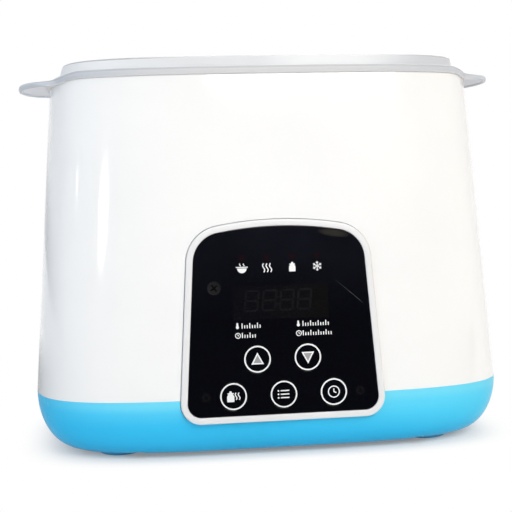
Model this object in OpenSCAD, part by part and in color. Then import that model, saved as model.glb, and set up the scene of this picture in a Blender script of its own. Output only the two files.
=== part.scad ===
// Twin bottle warmer and sterilizer.
// A tapered housing stands on a rounded base, with a framed control panel across the seam,
// a heated water tank inside and a lift-out bottle basket that hangs on the rim.
// Millimetres. X runs to the right seen from the front, Y to the back and Z up from the floor.

/* [Housing] */
// Width of the body at the seam between housing and base
body_w = 242; // [225:1:265]
// Depth of the body at the seam
body_d = 161; // [152:1:180]
// Width of the housing at its rim
rim_w = 218; // [205:1:240]
// Depth of the housing at its rim
rim_d = 143; // [136:1:158]
// Height of the housing from the seam to the rim
housing_h = 156.8; // [145:0.1:180]
// Wall thickness of the housing and the base
shell_wall = 2.6; // [2:0.1:3.2]
// Squareness of the outline at the seam, where 2 is an ellipse
seam_square = 3.9; // [3.5:0.1:4.5]
// Squareness of the outline at the rim
rim_square = 3.5; // [3.2:0.1:4.2]
// Width of the flat land on top of the rim
rim_land = 3; // [2.6:0.1:4]
// Radius of the rim's outer edge
rim_edge = 0.8; // [0.6:0.1:2]
// Width of the ledge that carries the tank
tank_ledge = 4; // [3:0.1:5]
// Thickness of that ledge
ledge_t = 2.5; // [2:0.1:4]

/* [Base] */
// Height of the seam above the floor
seam_z = 30.2; // [28:0.1:38]
// Height of the rounded lower edge
base_round = 27; // [20:0.5:27]
// Width of the rounded lower edge at the left and right
round_side = 17; // [14:0.5:20]
// Width of the rounded lower edge at the front and back
round_front = 15; // [12:0.5:18]
// Depth of the groove along the seam
seam_groove = 0.5; // [0.2:0.1:0.8]
// Height of the tongue that locates the housing
tongue_h = 4; // [3:0.5:6]
// Thickness of the tongue
tongue_t = 1.6; // [1.2:0.1:2.2]
// Distance that the feet hold the base off the floor
foot_lift = 2.2; // [1.4:0.1:3]
// Diameter of a rubber foot
foot_d = 24; // [16:0.5:26]
// Diameter of the stem that holds a foot in the base
foot_stem_d = 6; // [4:0.5:8]
// Distance of a foot's middle from the body's side
foot_in_side = 42; // [40:0.5:51]
// Distance of a foot's middle from the body's front or back
foot_in_end = 34.5; // [33.5:0.5:40.5]
// Distance of the housing screws from the middle
screw_x = 70; // [64:1:74]
// Shank diameter of a housing screw
screw_d = 3; // [2.5:0.1:4]
// Length of a housing screw below its head
screw_l = 28; // [24:1:32]
// Vent slots in the floor of the base
vent_count = 7; // [3:1:9]
// Distance between vent slots
vent_pitch = 8; // [7:0.5:10]
// Length of a vent slot
vent_l = 30; // [20:1:40]
// Width of a vent slot
vent_w = 2.4; // [1.5:0.1:3]

/* [Cord gland] */
// Distance of the gland from the middle of the back
gland_x = 40; // [20:1:50]
// Height of the gland above the floor
gland_z = 21; // [19:0.5:22]
// Bore for the mains cord
gland_bore = 6.6; // [5:0.1:7]
// Diameter of the gland's body in the wall
gland_body_d = 9.6; // [9:0.1:10]
// Diameter of the gland's flanges
gland_flange_d = 12; // [11.6:0.1:13]

/* [Control panel] */
// Width of the bezel at the seam
bezel_w = 100; // [92:0.5:104]
// Height of the bezel
bezel_h = 97.9; // [92:0.1:106]
// How far the bezel reaches below the seam
bezel_drop = 11.7; // [10:0.1:13]
// Slant of the bezel's sides in degrees
bezel_slant = 4; // [1:0.5:6]
// Slope of the arched top where it meets the shoulders, in degrees
arch_angle = 10; // [8:0.5:12]
// Radius of the lower corners
bezel_corner = 10; // [9:0.5:12]
// Radius of the shoulders
bezel_shoulder = 18; // [14:0.5:20]
// Width of the frame around the window
frame_w = 3.2; // [2.6:0.1:4]
// How far the bezel stands out of the wall
bezel_proud = 1; // [0.6:0.1:2]
// Width of the stop behind the wall
bezel_stop = 2; // [1.5:0.1:3]
// Wall of the tray behind the bezel
tray_wall = 2.2; // [1.6:0.1:3]
// Width of the ledge that carries the window
window_ledge = 1.5; // [1.2:0.1:2]
// Thickness of the smoked window
window_t = 1.8; // [1.4:0.1:2.2]
// How far the window lies below the bezel's face
window_sink = 0.5; // [0.3:0.1:0.8]

/* [Keys] */
// Diameter of a key
key_d = 13.4; // [12:0.1:14]
// Distance between keys in the lower row
key_pitch = 24.6; // [22:0.1:26]
// Height of the lower row above the seam
key_row_v = 1.2; // [1:0.1:3]
// Distance between the two arrow keys
arrow_pitch = 24.7; // [20:0.1:26]
// Height of the arrow keys above the seam
arrow_v = 18.7; // [18:0.1:21]
// How far a key stands out of the window
key_proud = 0.2; // [0:0.1:0.4]
// Travel of a key
key_travel = 0.4; // [0.3:0.05:0.6]
// Clearance around a key in the window
key_fit = 0.15; // [0.1:0.01:0.25]
// Width of the flange that holds a key behind the window
key_flange_w = 0.7; // [0.5:0.05:0.8]
// Thickness of that flange
key_flange_t = 1; // [0.8:0.1:1.4]
// Length of the plunger behind a key
plunger_l = 1.6; // [1:0.1:2.5]

/* [Display] */
// Width of the digit display
display_w = 48; // [40:0.5:52]
// Height of the digit display
display_h = 17; // [14:0.5:19]
// Distance of the display's middle below the top of the bezel
display_drop = 40.2; // [38:0.1:43]
// Distance between indicator lamps
lamp_pitch = 12.3; // [10:0.1:14]
// Distance of the indicator lamps below the top of the bezel
lamp_drop = 18.3; // [16:0.1:24]
// Diameter of an indicator lamp
lamp_d = 3; // [2:0.1:4]
// Thickness of the circuit boards
board_t = 1.6; // [1.2:0.1:2]
// Height of a key switch with its button
switch_h = 4.3; // [4:0.1:6]
// Side of a key switch
switch_side = 6; // [5:0.1:7]
// Head diameter of a control board screw
panel_screw_head = 6.6; // [5:0.1:7]
// Shank diameter of a control board screw
panel_screw_d = 2.6; // [2:0.1:3]

/* [Water tank] */
// Depth of the tank below the rim
tank_depth = 117; // [100:1:122]
// Wall thickness of the tank
tank_wall = 1.8; // [1.4:0.1:2.4]
// Thickness of the tank's flange
tank_flange_t = 2; // [1.5:0.1:2.5]
// Draft of the tank and the basket in degrees
draft = 4.6; // [4:0.1:5.5]
// Radius inside the bottom edge of the tank and the basket
tank_round = 6; // [4:0.5:8]

/* [Heater] */
// Diameter of the heater plate
heater_d = 92; // [84:1:94]
// Thickness of the heater plate
heater_t = 1.2; // [1:0.1:2]
// Diameter of the hole in the tank's floor
heater_hole_d = 70; // [66:1:72]
// Thickness of the silicone seal
seal_t = 1; // [0.8:0.1:1.5]
// Thickness of the clamp ring under the tank
clamp_t = 2; // [1.5:0.1:3]
// Ring diameter of the tubular element, at its middle
element_ring_d = 52; // [48:1:56]
// Diameter of the element's tube
element_d = 8; // [6:0.5:9]
// Diameter of the thermal cut-out
cutout_d = 16; // [14:0.5:17]
// Diameter of the temperature sensor
sensor_d = 6; // [4:0.5:7]

/* [Power board] */
// Width of the power board
power_w = 120; // [112:1:126]
// Depth of the power board
power_d = 64; // [58:1:70]
// Height of the posts under the power board
power_post_h = 8; // [6:0.5:10]
// Width of the transformer
transformer_w = 40; // [34:0.5:42]
// Depth of the transformer
transformer_d = 36; // [30:0.5:40]
// Height of the transformer
transformer_h = 30; // [24:0.5:34]
// Diameter of the filter capacitor
capacitor_d = 13; // [10:0.5:16]
// Height of the filter capacitor
capacitor_h = 22; // [16:0.5:26]
// Diameter of the buzzer
buzzer_d = 12; // [9:0.5:14]
// Width of the ribbon cable
ribbon_w = 14; // [10:0.5:18]

/* [Bottle basket] */
// Clearance between the basket and the tank
basket_gap = 1.4; // [1:0.1:2.5]
// Wall thickness of the basket
basket_wall = 2; // [1.6:0.1:2.6]
// Gap between the heater plate and the basket's floor
basket_lift = 6; // [5:0.5:12]
// Thickness of the flange that lies on the rim
flange_t = 3.6; // [3:0.1:4.5]
// How far the flange overhangs the rim
flange_over = 1; // [0.4:0.1:2]
// Height of the collar above the flange
collar_h = 5.5; // [4:0.1:8]
// Distance of the collar from the edge of the rim
collar_in = 5.5; // [4.5:0.1:7]
// Thickness of the collar
collar_t = 2.2; // [1.6:0.1:2.6]
// How far an ear reaches out from the flange
ear_reach = 15.8; // [13:0.1:20]
// Length of an ear from front to back
ear_span = 80; // [64:1:90]
// Thickness of an ear
ear_t = 2; // [1.6:0.1:2.6]
// How far an ear's underside hangs below the rim
ear_drop = 2.5; // [1.5:0.1:3]
// Height of the lip along an ear's edge
ear_lip = 0.6; // [0.4:0.1:1.2]
// Width of that lip
ear_lip_w = 1.6; // [1.2:0.1:2.4]
// Slots in each bay's wall
slot_count = 4; // [2:1:4]
// Width of a wall slot
slot_w = 6; // [4:0.5:8]
// Height of a wall slot
slot_h = 44; // [30:1:50]
// Distance between wall slots
slot_pitch = 18; // [14:0.5:18]
// Height of the divider between the two bays
divider_h = 62; // [40:1:70]
// Diameter of a drain hole
drain_d = 8; // [5:0.5:9]
// Radius of the ring of drain holes in each bay
drain_ring = 20; // [16:0.5:22]

/* [Hidden] */
$fn = 48;

// Points around each ring of a moulded shell, and steps in a rounded edge
ring_steps = 64;
round_steps = 6;
corner_steps = 8;
// Clearances: between fixed pieces, around screw shanks and above a recess
fit = 0.25;
screw_fit = 0.2;
// Amount by which a cut passes the face that it opens
over = 1;
// Amount by which a rib or post sinks into the wall that carries it
root_in = 1.2;

// Levels
rim_z = seam_z + housing_h;
base_floor = foot_lift + shell_wall;
tank_seat = rim_z - tank_flange_t - screw_fit;
tank_floor = rim_z - tank_depth;
tank_under = tank_floor - tank_wall;
plate_under = tank_floor + seal_t;
plate_top = plate_under + heater_t;
basket_under = plate_top + basket_lift;
basket_floor = basket_under + basket_wall;
collar_z = rim_z + flange_t;
power_z = base_floor + power_post_h;
power_top = power_z + board_t;

// Insets of tank and basket from the edge of the rim
tank_in = rim_land + tank_ledge + fit;
basket_in = tank_in + tank_wall + basket_gap;

// Lean of the front wall, and the bezel's outer levels on it
lean = atan((body_d - rim_d) / 2 / housing_h);
bezel_top = bezel_h - bezel_drop;
display_v = bezel_top - display_drop;
lamp_v = bezel_top - lamp_drop;

// Depths along the panel's normal, outward from the wall's face
window_face = bezel_proud - window_sink;
window_back = window_face - window_t;
key_gap = 0.2;
key_face = window_face + key_proud;
key_flange_front = window_back - key_gap;
key_flange_back = key_flange_front - key_flange_t;
plunger_end = key_flange_back - plunger_l;
switch_play = 0.1;
switch_top = plunger_end - key_travel - switch_play;
board_front = switch_top - switch_h;
board_back = board_front - board_t;
board_post = 2.4;
tray_floor_t = 1.4;
tray_floor = board_back - board_post;
tray_back = tray_floor - tray_floor_t;
ledge_back = window_back - window_ledge;
lamp_gap = 0.6;
board_in = frame_w + window_ledge + 2 * fit;

// Places on the panel, from the middle of the seam
KEYS = [["key_up", [-arrow_pitch / 2, arrow_v]], ["key_down", [arrow_pitch / 2, arrow_v]],
    ["key_warm", [-key_pitch, key_row_v]], ["key_function", [0, key_row_v]],
    ["key_timer", [key_pitch, key_row_v]]];
panel_screws = [[-key_pitch - 13.2, key_row_v], [key_pitch + 13.2, key_row_v],
    [-display_w / 2 - 8.3, display_v + 7.7]];
panel_screw_head_h = 2;
panel_screw_l = board_t + board_post;

// Feet: name, side and end
FEET = [["foot_front_left", -1, -1], ["foot_front_right", 1, -1], ["foot_rear_left", -1, 1],
    ["foot_rear_right", 1, 1]];
foot_across = body_w / 2 - foot_in_side;
foot_along = body_d / 2 - foot_in_end;
foot_stem_l = shell_wall + 1;

// Bosses and screws that join base and housing
boss_d = 10;
column_d = 9;
column_h = 18;
tongue_gap = 0.7;
tongue_in = shell_wall + tongue_gap + tongue_t;
boss_margin = 4.5;
boss_root = 0.2;
screw_y = ring_y(body_ring(seam_z, tongue_in), screw_x) - boss_d / 2 - boss_margin;
screw_head_d = 2 * screw_d;
screw_head_h = 0.7 * screw_d;
screw_seat = seam_z - 14;
screw_recess_d = screw_head_d + 2 * fit;

// Gland: its seat in the back wall and its reach, equal to the bezel's at the front
gland_seat_in = 1.7;
gland_seat = ring_y(base_ring(gland_z, 0), gland_x) - gland_seat_in;
gland_reach = body_d / 2 + bezel_drop * sin(lean) + bezel_proud * cos(lean);
gland_inner_t = 3;

// Heater fixings
heater_screw_ring = (heater_d + heater_hole_d) / 4;
heater_boss_d = 6;
heater_boss_l = seal_t + tank_wall - fit;
heater_screw_d = 3;
heater_screw_head = 5.5;
heater_screw_head_h = 2;
seal_edge = 0.6;
element_flat = 1;
element_gap_angle = 60;
element_pin_d = 5;
element_pin_l = 10;
lead_d = 2.4;
lead_ends = [for (side = [-1, 1]) let (turn = 90 + side * element_gap_angle / 2)
    element_ring_d / 2 * [cos(turn), sin(turn)]];

// Power board parts: middle of the board and places on it
power_at = [0, 8];
power_post_in = 5;
power_post_d = 8;
power_screw_d = 3;
power_screw_l = 7;
power_screw_head = 5.5;
power_screw_head_h = 2;
transformer_at = power_at + [-power_w / 2 + transformer_w / 2 + 1, -1];
transformer_core_t = 14;
relay_size = [19, 15.4, 15.6];
relay_at = power_at + [8, -4];
capacitor_at = power_at + [32, -10];
buzzer_at = power_at + [38, 16];
buzzer_h = 9;

// Ribbon cable: start on the control board, straight end on the power board
ribbon_t = 1;
ribbon_bend = 8;
ribbon_v = 27;
ribbon_slot_h = 9;
ribbon_end_y = power_at.y - power_d / 2 + 4;
ribbon_y = -body_d / 2 + ribbon_v * sin(lean) - board_back * cos(lean);
ribbon_z = seam_z + ribbon_v * cos(lean) + board_back * sin(lean);

// Basket ears: gap to the housing beside them, and the root that joins them to the flange
ear_gap = 0.7;
ear_root_in = 1.4;
ear_root_out = 2.4;
divider_dip = 26;
slot_start = 14;

// A ring is [half width, half depth, squareness, height]
function ring_points(ring) = [for (i = [0 : ring_steps - 1])
    let (turn = 360 * i / ring_steps, c = cos(turn), s = sin(turn), power = 2 / ring[2])
    [ring[0] * sign(c) * pow(abs(c), power), ring[1] * sign(s) * pow(abs(s), power), ring[3]]];
// Half depth of a ring at a distance x from its middle
function ring_y(ring, x) = ring[1] * pow(1 - pow(abs(x) / ring[0], ring[2]), 1 / ring[2]);
// Outline of the housing at height z, drawn in by inset
function body_ring(z, inset) = let (up = (z - seam_z) / housing_h)
    [body_w / 2 + up * (rim_w - body_w) / 2 - inset, body_d / 2 + up * (rim_d - body_d) / 2 - inset,
        seam_square + up * (rim_square - seam_square), z];
// Share of the rounded lower edge's width by which the base is drawn in at height z
function edge_share(z) = let (drop = max(0, foot_lift + base_round - z) / base_round)
    1 - sqrt(1 - drop * drop);
// Outline of the base at height z
function base_ring(z, inset) = [body_w / 2 - round_side * edge_share(z) - inset,
    body_d / 2 - round_front * edge_share(z) - inset, seam_square, z];
// Outline of tank and basket at height z, with draft
function liner_ring(z, inset) = let (all = inset + (rim_z - z) * tan(draft))
    [rim_w / 2 - all, rim_d / 2 - all, rim_square, z];
// Rings of the base's rounded lower edge from the bottom up, a wall of thickness t within its outside
function base_edge(t) = [for (i = [0 : round_steps]) let (turn = 90 * i / round_steps, share = 1 - sin(turn))
    [body_w / 2 - t - (round_side - t) * share, body_d / 2 - t - (round_front - t) * share,
        seam_square, foot_lift + t + (base_round - t) * (1 - cos(turn))]];
// Rings of a rounded lower edge of radius r on tank or basket at height z
function liner_edge(r, z, inset) = [for (i = [0 : round_steps]) let (turn = 90 * i / round_steps)
    liner_ring(z + r * (1 - cos(turn)), inset + r * (1 - sin(turn)))];
function reversed(list) = [for (i = [len(list) - 1 : -1 : 0]) list[i]];

// Shell through a list of rings: closed at both ends, or joined end to end as a tube
module shell(rings, tube = false) {
    count = len(rings);
    points = [for (r = rings) each ring_points(r)];
    function at(i, j) = (i % count) * ring_steps + j % ring_steps;
    sides = [for (i = [0 : count - (tube ? 1 : 2)], j = [0 : ring_steps - 1])
        each [[at(i, j), at(i + 1, j), at(i + 1, j + 1)], [at(i, j), at(i + 1, j + 1), at(i, j + 1)]]];
    ends = [[for (j = [0 : ring_steps - 1]) j], [for (j = [ring_steps - 1 : -1 : 0]) at(count - 1, j)]];
    polyhedron(points, tube ? sides : concat(sides, ends));
}

// Round one corner of an outline
function unit(v) = v / norm(v);
function corner_arc(before, corner, after, r) =
    let (u = unit(before - corner), w = unit(after - corner), half = acos(u * w) / 2,
        middle = corner + unit(u + w) * r / sin(half), first = corner + u * r / tan(half) - middle,
        start = atan2(first.y, first.x), sweep = sign(u.y * w.x - u.x * w.y) * (180 - 2 * half))
    [for (i = [0 : corner_steps]) let (turn = start + sweep * i / corner_steps)
        middle + r * [cos(turn), sin(turn)]];
function rounded(corners, radii) = let (count = len(corners))
    [for (i = [0 : count - 1]) each corner_arc(corners[(i + count - 1) % count], corners[i],
        corners[(i + 1) % count], radii[i])];

// Outline of the control panel, drawn in by inset: slanted sides, round corners, arched top
function panel_outline(inset) =
    let (half_w = bezel_w / 2 - inset / cos(bezel_slant), low = inset - bezel_drop,
        peak = bezel_top - inset, slant = tan(bezel_slant), slope = tan(arch_angle),
        shoulder_r = max(bezel_shoulder - inset, 1), corner_r = max(bezel_corner - inset, 1),
        shoulder_l = shoulder_r * tan((90 - bezel_slant - arch_angle) / 2),
        rise = 1 / cos(arch_angle) - 1,
        shoulder_x = (half_w - peak * slant + rise * slant * shoulder_l / slope)
            / (1 - slope * slant + rise * slant / (cos(arch_angle) * slope)),
        arch_r = (shoulder_x / cos(arch_angle) - shoulder_l) / slope,
        apex = peak + rise * arch_r, low_x = half_w - low * slant,
        shoulder_v = apex - shoulder_x * slope)
    rounded([[-low_x, low], [low_x, low], [shoulder_x, shoulder_v], [0, apex], [-shoulder_x, shoulder_v]],
        [corner_r, corner_r, shoulder_r, arch_r, shoulder_r]);
// How far the curved wall falls behind the flat panel at the panel's edges
panel_sag = max([for (v = [0, bezel_top]) let (ring = body_ring(seam_z + v, 0))
    ring[1] - ring_y(ring, bezel_w / 2 - v * tan(bezel_slant) + bezel_stop)]);
stop_front = -shell_wall - panel_sag - fit;
stop_t = 1.4;
stop_from = tongue_h + 2;

// Place children on the panel: X right, Y up the panel, Z outward
module on_panel() {
    translate([0, -body_d / 2, seam_z]) rotate([90 - lean, 0, 0]) children();
}
// Panel outline as a block between two depths
module panel_block(inset, back, front) {
    translate([0, 0, back]) linear_extrude(front - back) polygon(panel_outline(inset));
}
// Place children at both sides and both ends
module at_corners(x, y) {
    for (side = [-1, 1], end = [-1, 1]) translate([side * x, end * y, 0]) children();
}
module panel_opening() {
    on_panel() panel_block(-fit, tray_back - over, panel_sag + bezel_proud + base_round);
}
// Screw with its head below z = 0 and its shank upward
module screw(shank_d, shank_l, head_d, head_h) {
    difference() {
        union() {
            cylinder(h = shank_l, d = shank_d);
            translate([0, 0, -head_h]) cylinder(h = head_h, d = head_d);
        }
        for (turn = [0, 90]) rotate(turn) translate([-head_d / 3, -head_d / 12, -head_h - over])
            cube([head_d / 1.5, head_d / 6, head_h / 2 + over]);
    }
}

module main_housing() {
    ledge_in = rim_land + tank_ledge;
    ledge_z = tank_seat - ledge_t;
    rib_low = seam_z + tongue_h + over;
    rib_top = seam_z + column_h;
    rib_end = ring_y(body_ring(rib_low, shell_wall), screw_x) + root_in;
    color("white") difference() {
        union() {
            shell([body_ring(seam_z, seam_groove), body_ring(seam_z + seam_groove, 0),
                body_ring(rim_z - rim_edge, 0), body_ring(rim_z - rim_edge * 0.3, rim_edge * 0.3),
                body_ring(rim_z, rim_edge), body_ring(rim_z, rim_land), body_ring(tank_seat, rim_land),
                body_ring(tank_seat, ledge_in), body_ring(ledge_z, ledge_in),
                body_ring(ledge_z - ledge_in + shell_wall, shell_wall), body_ring(seam_z, shell_wall)],
                tube = true);
            at_corners(screw_x, screw_y) translate([0, 0, seam_z]) cylinder(h = column_h, d = column_d);
            for (end = [0, 180], side = [-1, 1]) rotate(end)
                translate([side * screw_x - column_d / 4, screw_y, rib_low])
                    cube([column_d / 2, rib_end - screw_y, rib_top - rib_low]);
        }
        panel_opening();
        at_corners(screw_x, screw_y) translate([0, 0, seam_z - over])
            cylinder(h = column_h - over, d = screw_d + screw_fit);
    }
}

module base_pan() {
    relief_z = seam_z - 2 * tongue_t;
    relief_low = relief_z - tongue_gap - tongue_t;
    boss_z = base_floor - boss_root;
    color("deepskyblue") difference() {
        union() {
            shell(concat(base_edge(0), [base_ring(seam_z - seam_groove, 0),
                base_ring(seam_z, seam_groove), base_ring(seam_z, shell_wall + tongue_gap),
                base_ring(seam_z + tongue_h, shell_wall + tongue_gap),
                base_ring(seam_z + tongue_h, tongue_in), base_ring(relief_z, tongue_in),
                base_ring(relief_low, shell_wall)],
                [for (edge = reversed(base_edge(shell_wall))) if (edge[3] < relief_low) edge]));
            at_corners(screw_x, screw_y) translate([0, 0, boss_z]) cylinder(h = seam_z - boss_z, d = boss_d);
            translate([power_at.x, power_at.y, base_floor - root_in])
                at_corners(power_w / 2 - power_post_in, power_d / 2 - power_post_in)
                    cylinder(h = power_post_h + root_in, d = power_post_d);
        }
        panel_opening();
        at_corners(screw_x, screw_y) {
            cylinder(h = screw_seat, d = screw_recess_d);
            cylinder(h = seam_z + over, d = screw_d + 2 * screw_fit);
        }
        translate([power_at.x, power_at.y, base_floor])
            at_corners(power_w / 2 - power_post_in, power_d / 2 - power_post_in)
                cylinder(h = power_post_h + over, d = power_screw_d + screw_fit);
        at_corners(foot_across, foot_along) cylinder(h = seam_z, d = foot_stem_d + screw_fit);
        translate([gland_x, 0, gland_z]) rotate([-90, 0, 0]) {
            cylinder(h = body_d, d = gland_body_d + screw_fit);
            translate([0, 0, gland_seat]) cylinder(h = body_d, d = gland_flange_d + 2 * fit);
        }
        for (i = [0 : vent_count - 1])
            translate([(i - (vent_count - 1) / 2) * vent_pitch - vent_w / 2, power_at.y - vent_l / 2, 0])
                cube([vent_w, vent_l, base_floor + over]);
    }
}

module foot(place) {
    color("steelblue") translate([place[1] * foot_across, place[2] * foot_along, 0]) {
        cylinder(h = foot_lift, d1 = foot_d - 2 * foot_lift, d2 = foot_d);
        cylinder(h = foot_lift + foot_stem_l, d = foot_stem_d);
    }
}

module housing_screws() {
    color("silver") at_corners(screw_x, screw_y) translate([0, 0, screw_seat])
        screw(screw_d, screw_l, screw_head_d, screw_head_h);
}

module cord_gland() {
    wall_in = ring_y(base_ring(gland_z, 0), gland_x + gland_flange_d / 2) - shell_wall;
    inner = wall_in - round_front * edge_share(gland_z - gland_flange_d / 2) - fit;
    color("dimgray") translate([gland_x, 0, gland_z]) rotate([-90, 0, 0]) difference() {
        union() {
            translate([0, 0, gland_seat]) cylinder(h = gland_reach - gland_seat, d = gland_flange_d);
            translate([0, 0, inner - gland_inner_t])
                cylinder(h = gland_seat + over - inner + gland_inner_t, d = gland_body_d);
            translate([0, 0, inner - gland_inner_t]) cylinder(h = gland_inner_t, d = gland_flange_d);
        }
        translate([0, 0, inner - gland_inner_t - over])
            cylinder(h = gland_reach - inner + gland_inner_t + 2 * over, d = gland_bore);
    }
}

module panel_bezel() {
    color("gainsboro") on_panel() difference() {
        union() {
            difference() {
                union() {
                    panel_block(0, tray_back, bezel_proud);
                    difference() {
                        panel_block(-bezel_stop, stop_front - stop_t, stop_front);
                        translate([-bezel_w, stop_from - bezel_h, stop_front - stop_t - over])
                            cube([2 * bezel_w, bezel_h, stop_t + 2 * over]);
                    }
                }
                panel_block(frame_w, window_back, bezel_proud + over);
                panel_block(frame_w + window_ledge, ledge_back - over, window_back + over);
                panel_block(tray_wall, tray_floor, ledge_back);
                translate([-ribbon_w / 2 - 2, ribbon_v - ribbon_slot_h / 2, tray_back - over])
                    cube([ribbon_w + 4, ribbon_slot_h, tray_floor_t + 2 * over]);
            }
            for (place = panel_screws) translate([place.x, place.y, tray_floor - tray_floor_t / 2])
                cylinder(h = board_post + tray_floor_t / 2, d = panel_screw_head);
        }
        for (place = panel_screws) translate([place.x, place.y, tray_floor])
            cylinder(h = board_post + over, d = panel_screw_d + screw_fit);
    }
}

module panel_window() {
    color([0.08, 0.09, 0.1]) on_panel() difference() {
        panel_block(frame_w + fit / 2, window_back, window_face);
        for (key = KEYS) translate([key[1].x, key[1].y, window_back - over])
            cylinder(h = window_t + 2 * over, d = key_d + 2 * key_fit);
    }
}

module panel_key(place) {
    color([0.12, 0.13, 0.14]) on_panel() translate([place.x, place.y, 0]) {
        translate([0, 0, key_flange_back]) cylinder(h = key_face - key_flange_back, d = key_d);
        translate([0, 0, key_flange_back]) cylinder(h = key_flange_t, d = key_d + 2 * key_flange_w);
        translate([0, 0, plunger_end]) cylinder(h = plunger_l + key_flange_t / 2, d = key_d / 4);
    }
}

module key_switches() {
    body_h = 0.7 * switch_h;
    color("silver") on_panel() for (key = KEYS) translate([key[1].x, key[1].y, board_front]) {
        translate([-switch_side / 2, -switch_side / 2, 0]) cube([switch_side, switch_side, body_h]);
        cylinder(h = switch_h, d = switch_side * 0.56);
    }
}

module control_board() {
    color("darkgreen") on_panel() difference() {
        panel_block(board_in, board_back, board_front);
        for (place = panel_screws) translate([place.x, place.y, board_back - over])
            cylinder(h = board_t + 2 * over, d = panel_screw_d + 2 * screw_fit);
    }
}

module control_board_screws() {
    color("silver") on_panel() for (place = panel_screws) translate([place.x, place.y, board_front])
        rotate([180, 0, 0]) screw(panel_screw_d, panel_screw_l, panel_screw_head, panel_screw_head_h);
}

module led_display() {
    color("black") on_panel() translate([-display_w / 2, display_v - display_h / 2, board_front])
        cube([display_w, display_h, window_back - lamp_gap - board_front]);
}

module indicator_lamp(i) {
    lamp_l = window_back - lamp_gap - board_front - lamp_d / 2;
    color("tomato") on_panel() translate([(i - 1.5) * lamp_pitch, lamp_v, board_front]) {
        cylinder(h = lamp_l, d = lamp_d);
        cylinder(h = lamp_l / 2, d = lamp_d + 0.8);
        translate([0, 0, lamp_l]) sphere(d = lamp_d);
    }
}

module water_tank() {
    top = tank_seat + tank_flange_t;
    flange_in = rim_land + fit;
    color("whitesmoke") difference() {
        shell(concat(liner_edge(tank_round + tank_wall, tank_under, tank_in),
            [liner_ring(tank_seat, tank_in), body_ring(tank_seat, flange_in), body_ring(top, flange_in),
                liner_ring(top, tank_in + tank_wall)],
            reversed(liner_edge(tank_round, tank_floor, tank_in + tank_wall))));
        translate([0, 0, tank_under - over]) {
            cylinder(h = tank_wall + 2 * over, d = heater_hole_d);
            heater_ring() cylinder(h = tank_wall + 2 * over, d = heater_boss_d + 2 * fit);
        }
    }
}

// Place children at the four heater fixings
module heater_ring() {
    for (turn = [45 : 90 : 315]) rotate(turn) translate([heater_screw_ring, 0, 0]) children();
}

module heater_plate() {
    boss_end = plate_under - heater_boss_l;
    color("silver") difference() {
        union() {
            translate([0, 0, plate_under]) cylinder(h = heater_t, d = heater_d);
            heater_ring() translate([0, 0, boss_end])
                cylinder(h = heater_boss_l + heater_t / 2, d = heater_boss_d);
        }
        heater_ring() translate([0, 0, boss_end - over])
            cylinder(h = heater_boss_l + over + heater_t / 2, d = heater_screw_d + screw_fit);
    }
}

module heater_seal() {
    color("salmon") translate([0, 0, tank_floor]) difference() {
        cylinder(h = seal_t, d = heater_d - 2 * seal_edge);
        translate([0, 0, -over]) {
            cylinder(h = seal_t + 2 * over, d = heater_hole_d + 2 * seal_edge);
            heater_ring() cylinder(h = seal_t + 2 * over, d = heater_boss_d + 2 * fit);
        }
    }
}

module heater_clamp() {
    color("silver") translate([0, 0, tank_under - clamp_t]) difference() {
        cylinder(h = clamp_t, d = heater_d - 2 * seal_edge);
        translate([0, 0, -over]) {
            cylinder(h = clamp_t + 2 * over, d = heater_hole_d + 2 * seal_edge);
            heater_ring() cylinder(h = clamp_t + 2 * over, d = heater_screw_d + 2 * screw_fit);
        }
    }
}

module heater_screws() {
    color("silver") translate([0, 0, tank_under - clamp_t]) heater_ring()
        screw(heater_screw_d, clamp_t + tank_wall + seal_t, heater_screw_head, heater_screw_head_h);
}

module heating_element() {
    tube_r = element_d / 2;
    tube_z = plate_under - tube_r + element_flat;
    color("gray") {
        difference() {
            translate([0, 0, tube_z]) rotate(90 + element_gap_angle / 2)
                rotate_extrude(angle = 360 - element_gap_angle)
                    translate([element_ring_d / 2, 0]) circle(r = tube_r);
            translate([0, 0, plate_under]) cylinder(h = element_d, d = heater_hole_d);
        }
        for (end = lead_ends) translate([end.x, end.y, tube_z - element_pin_l])
            cylinder(h = element_pin_l, d = element_pin_d);
    }
}

module thermal_cutout() {
    body_h = 5;
    blade = [0.8, 6, 7];
    color("tan") {
        translate([0, 0, plate_under - body_h]) cylinder(h = body_h, d = cutout_d);
        for (side = [-1, 1])
            translate([side * cutout_d / 4 - blade.x / 2, -blade.y / 2, plate_under - body_h - blade.z])
                cube(blade);
    }
}

module temperature_sensor() {
    reach = (cutout_d / 2 + element_ring_d / 2 - element_d / 2) / 2;
    length = 9;
    color("goldenrod") translate([0, -reach, plate_under - length]) cylinder(h = length, d = sensor_d);
}

module power_posts() {
    translate([power_at.x, power_at.y, 0])
        at_corners(power_w / 2 - power_post_in, power_d / 2 - power_post_in) children();
}

module power_board() {
    color("darkgreen") difference() {
        translate([power_at.x - power_w / 2, power_at.y - power_d / 2, power_z])
            cube([power_w, power_d, board_t]);
        power_posts() cylinder(h = power_top + over, d = power_screw_d + 2 * screw_fit);
    }
}

module power_board_screws() {
    color("silver") power_posts() translate([0, 0, power_top]) rotate([180, 0, 0])
        screw(power_screw_d, power_screw_l, power_screw_head, power_screw_head_h);
}

module transformer() {
    color("darkgoldenrod") translate([transformer_at.x, transformer_at.y, power_top]) {
        translate([-transformer_w / 2, -transformer_core_t / 2, 0])
            cube([transformer_w, transformer_core_t, transformer_h]);
        translate([-transformer_w / 3, -transformer_d / 2, 0])
            cube([transformer_w / 1.5, transformer_d, transformer_h * 0.8]);
    }
}

module relay() {
    color("royalblue") translate([relay_at.x - relay_size.x / 2, relay_at.y - relay_size.y / 2, power_top])
        cube(relay_size);
}

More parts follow.
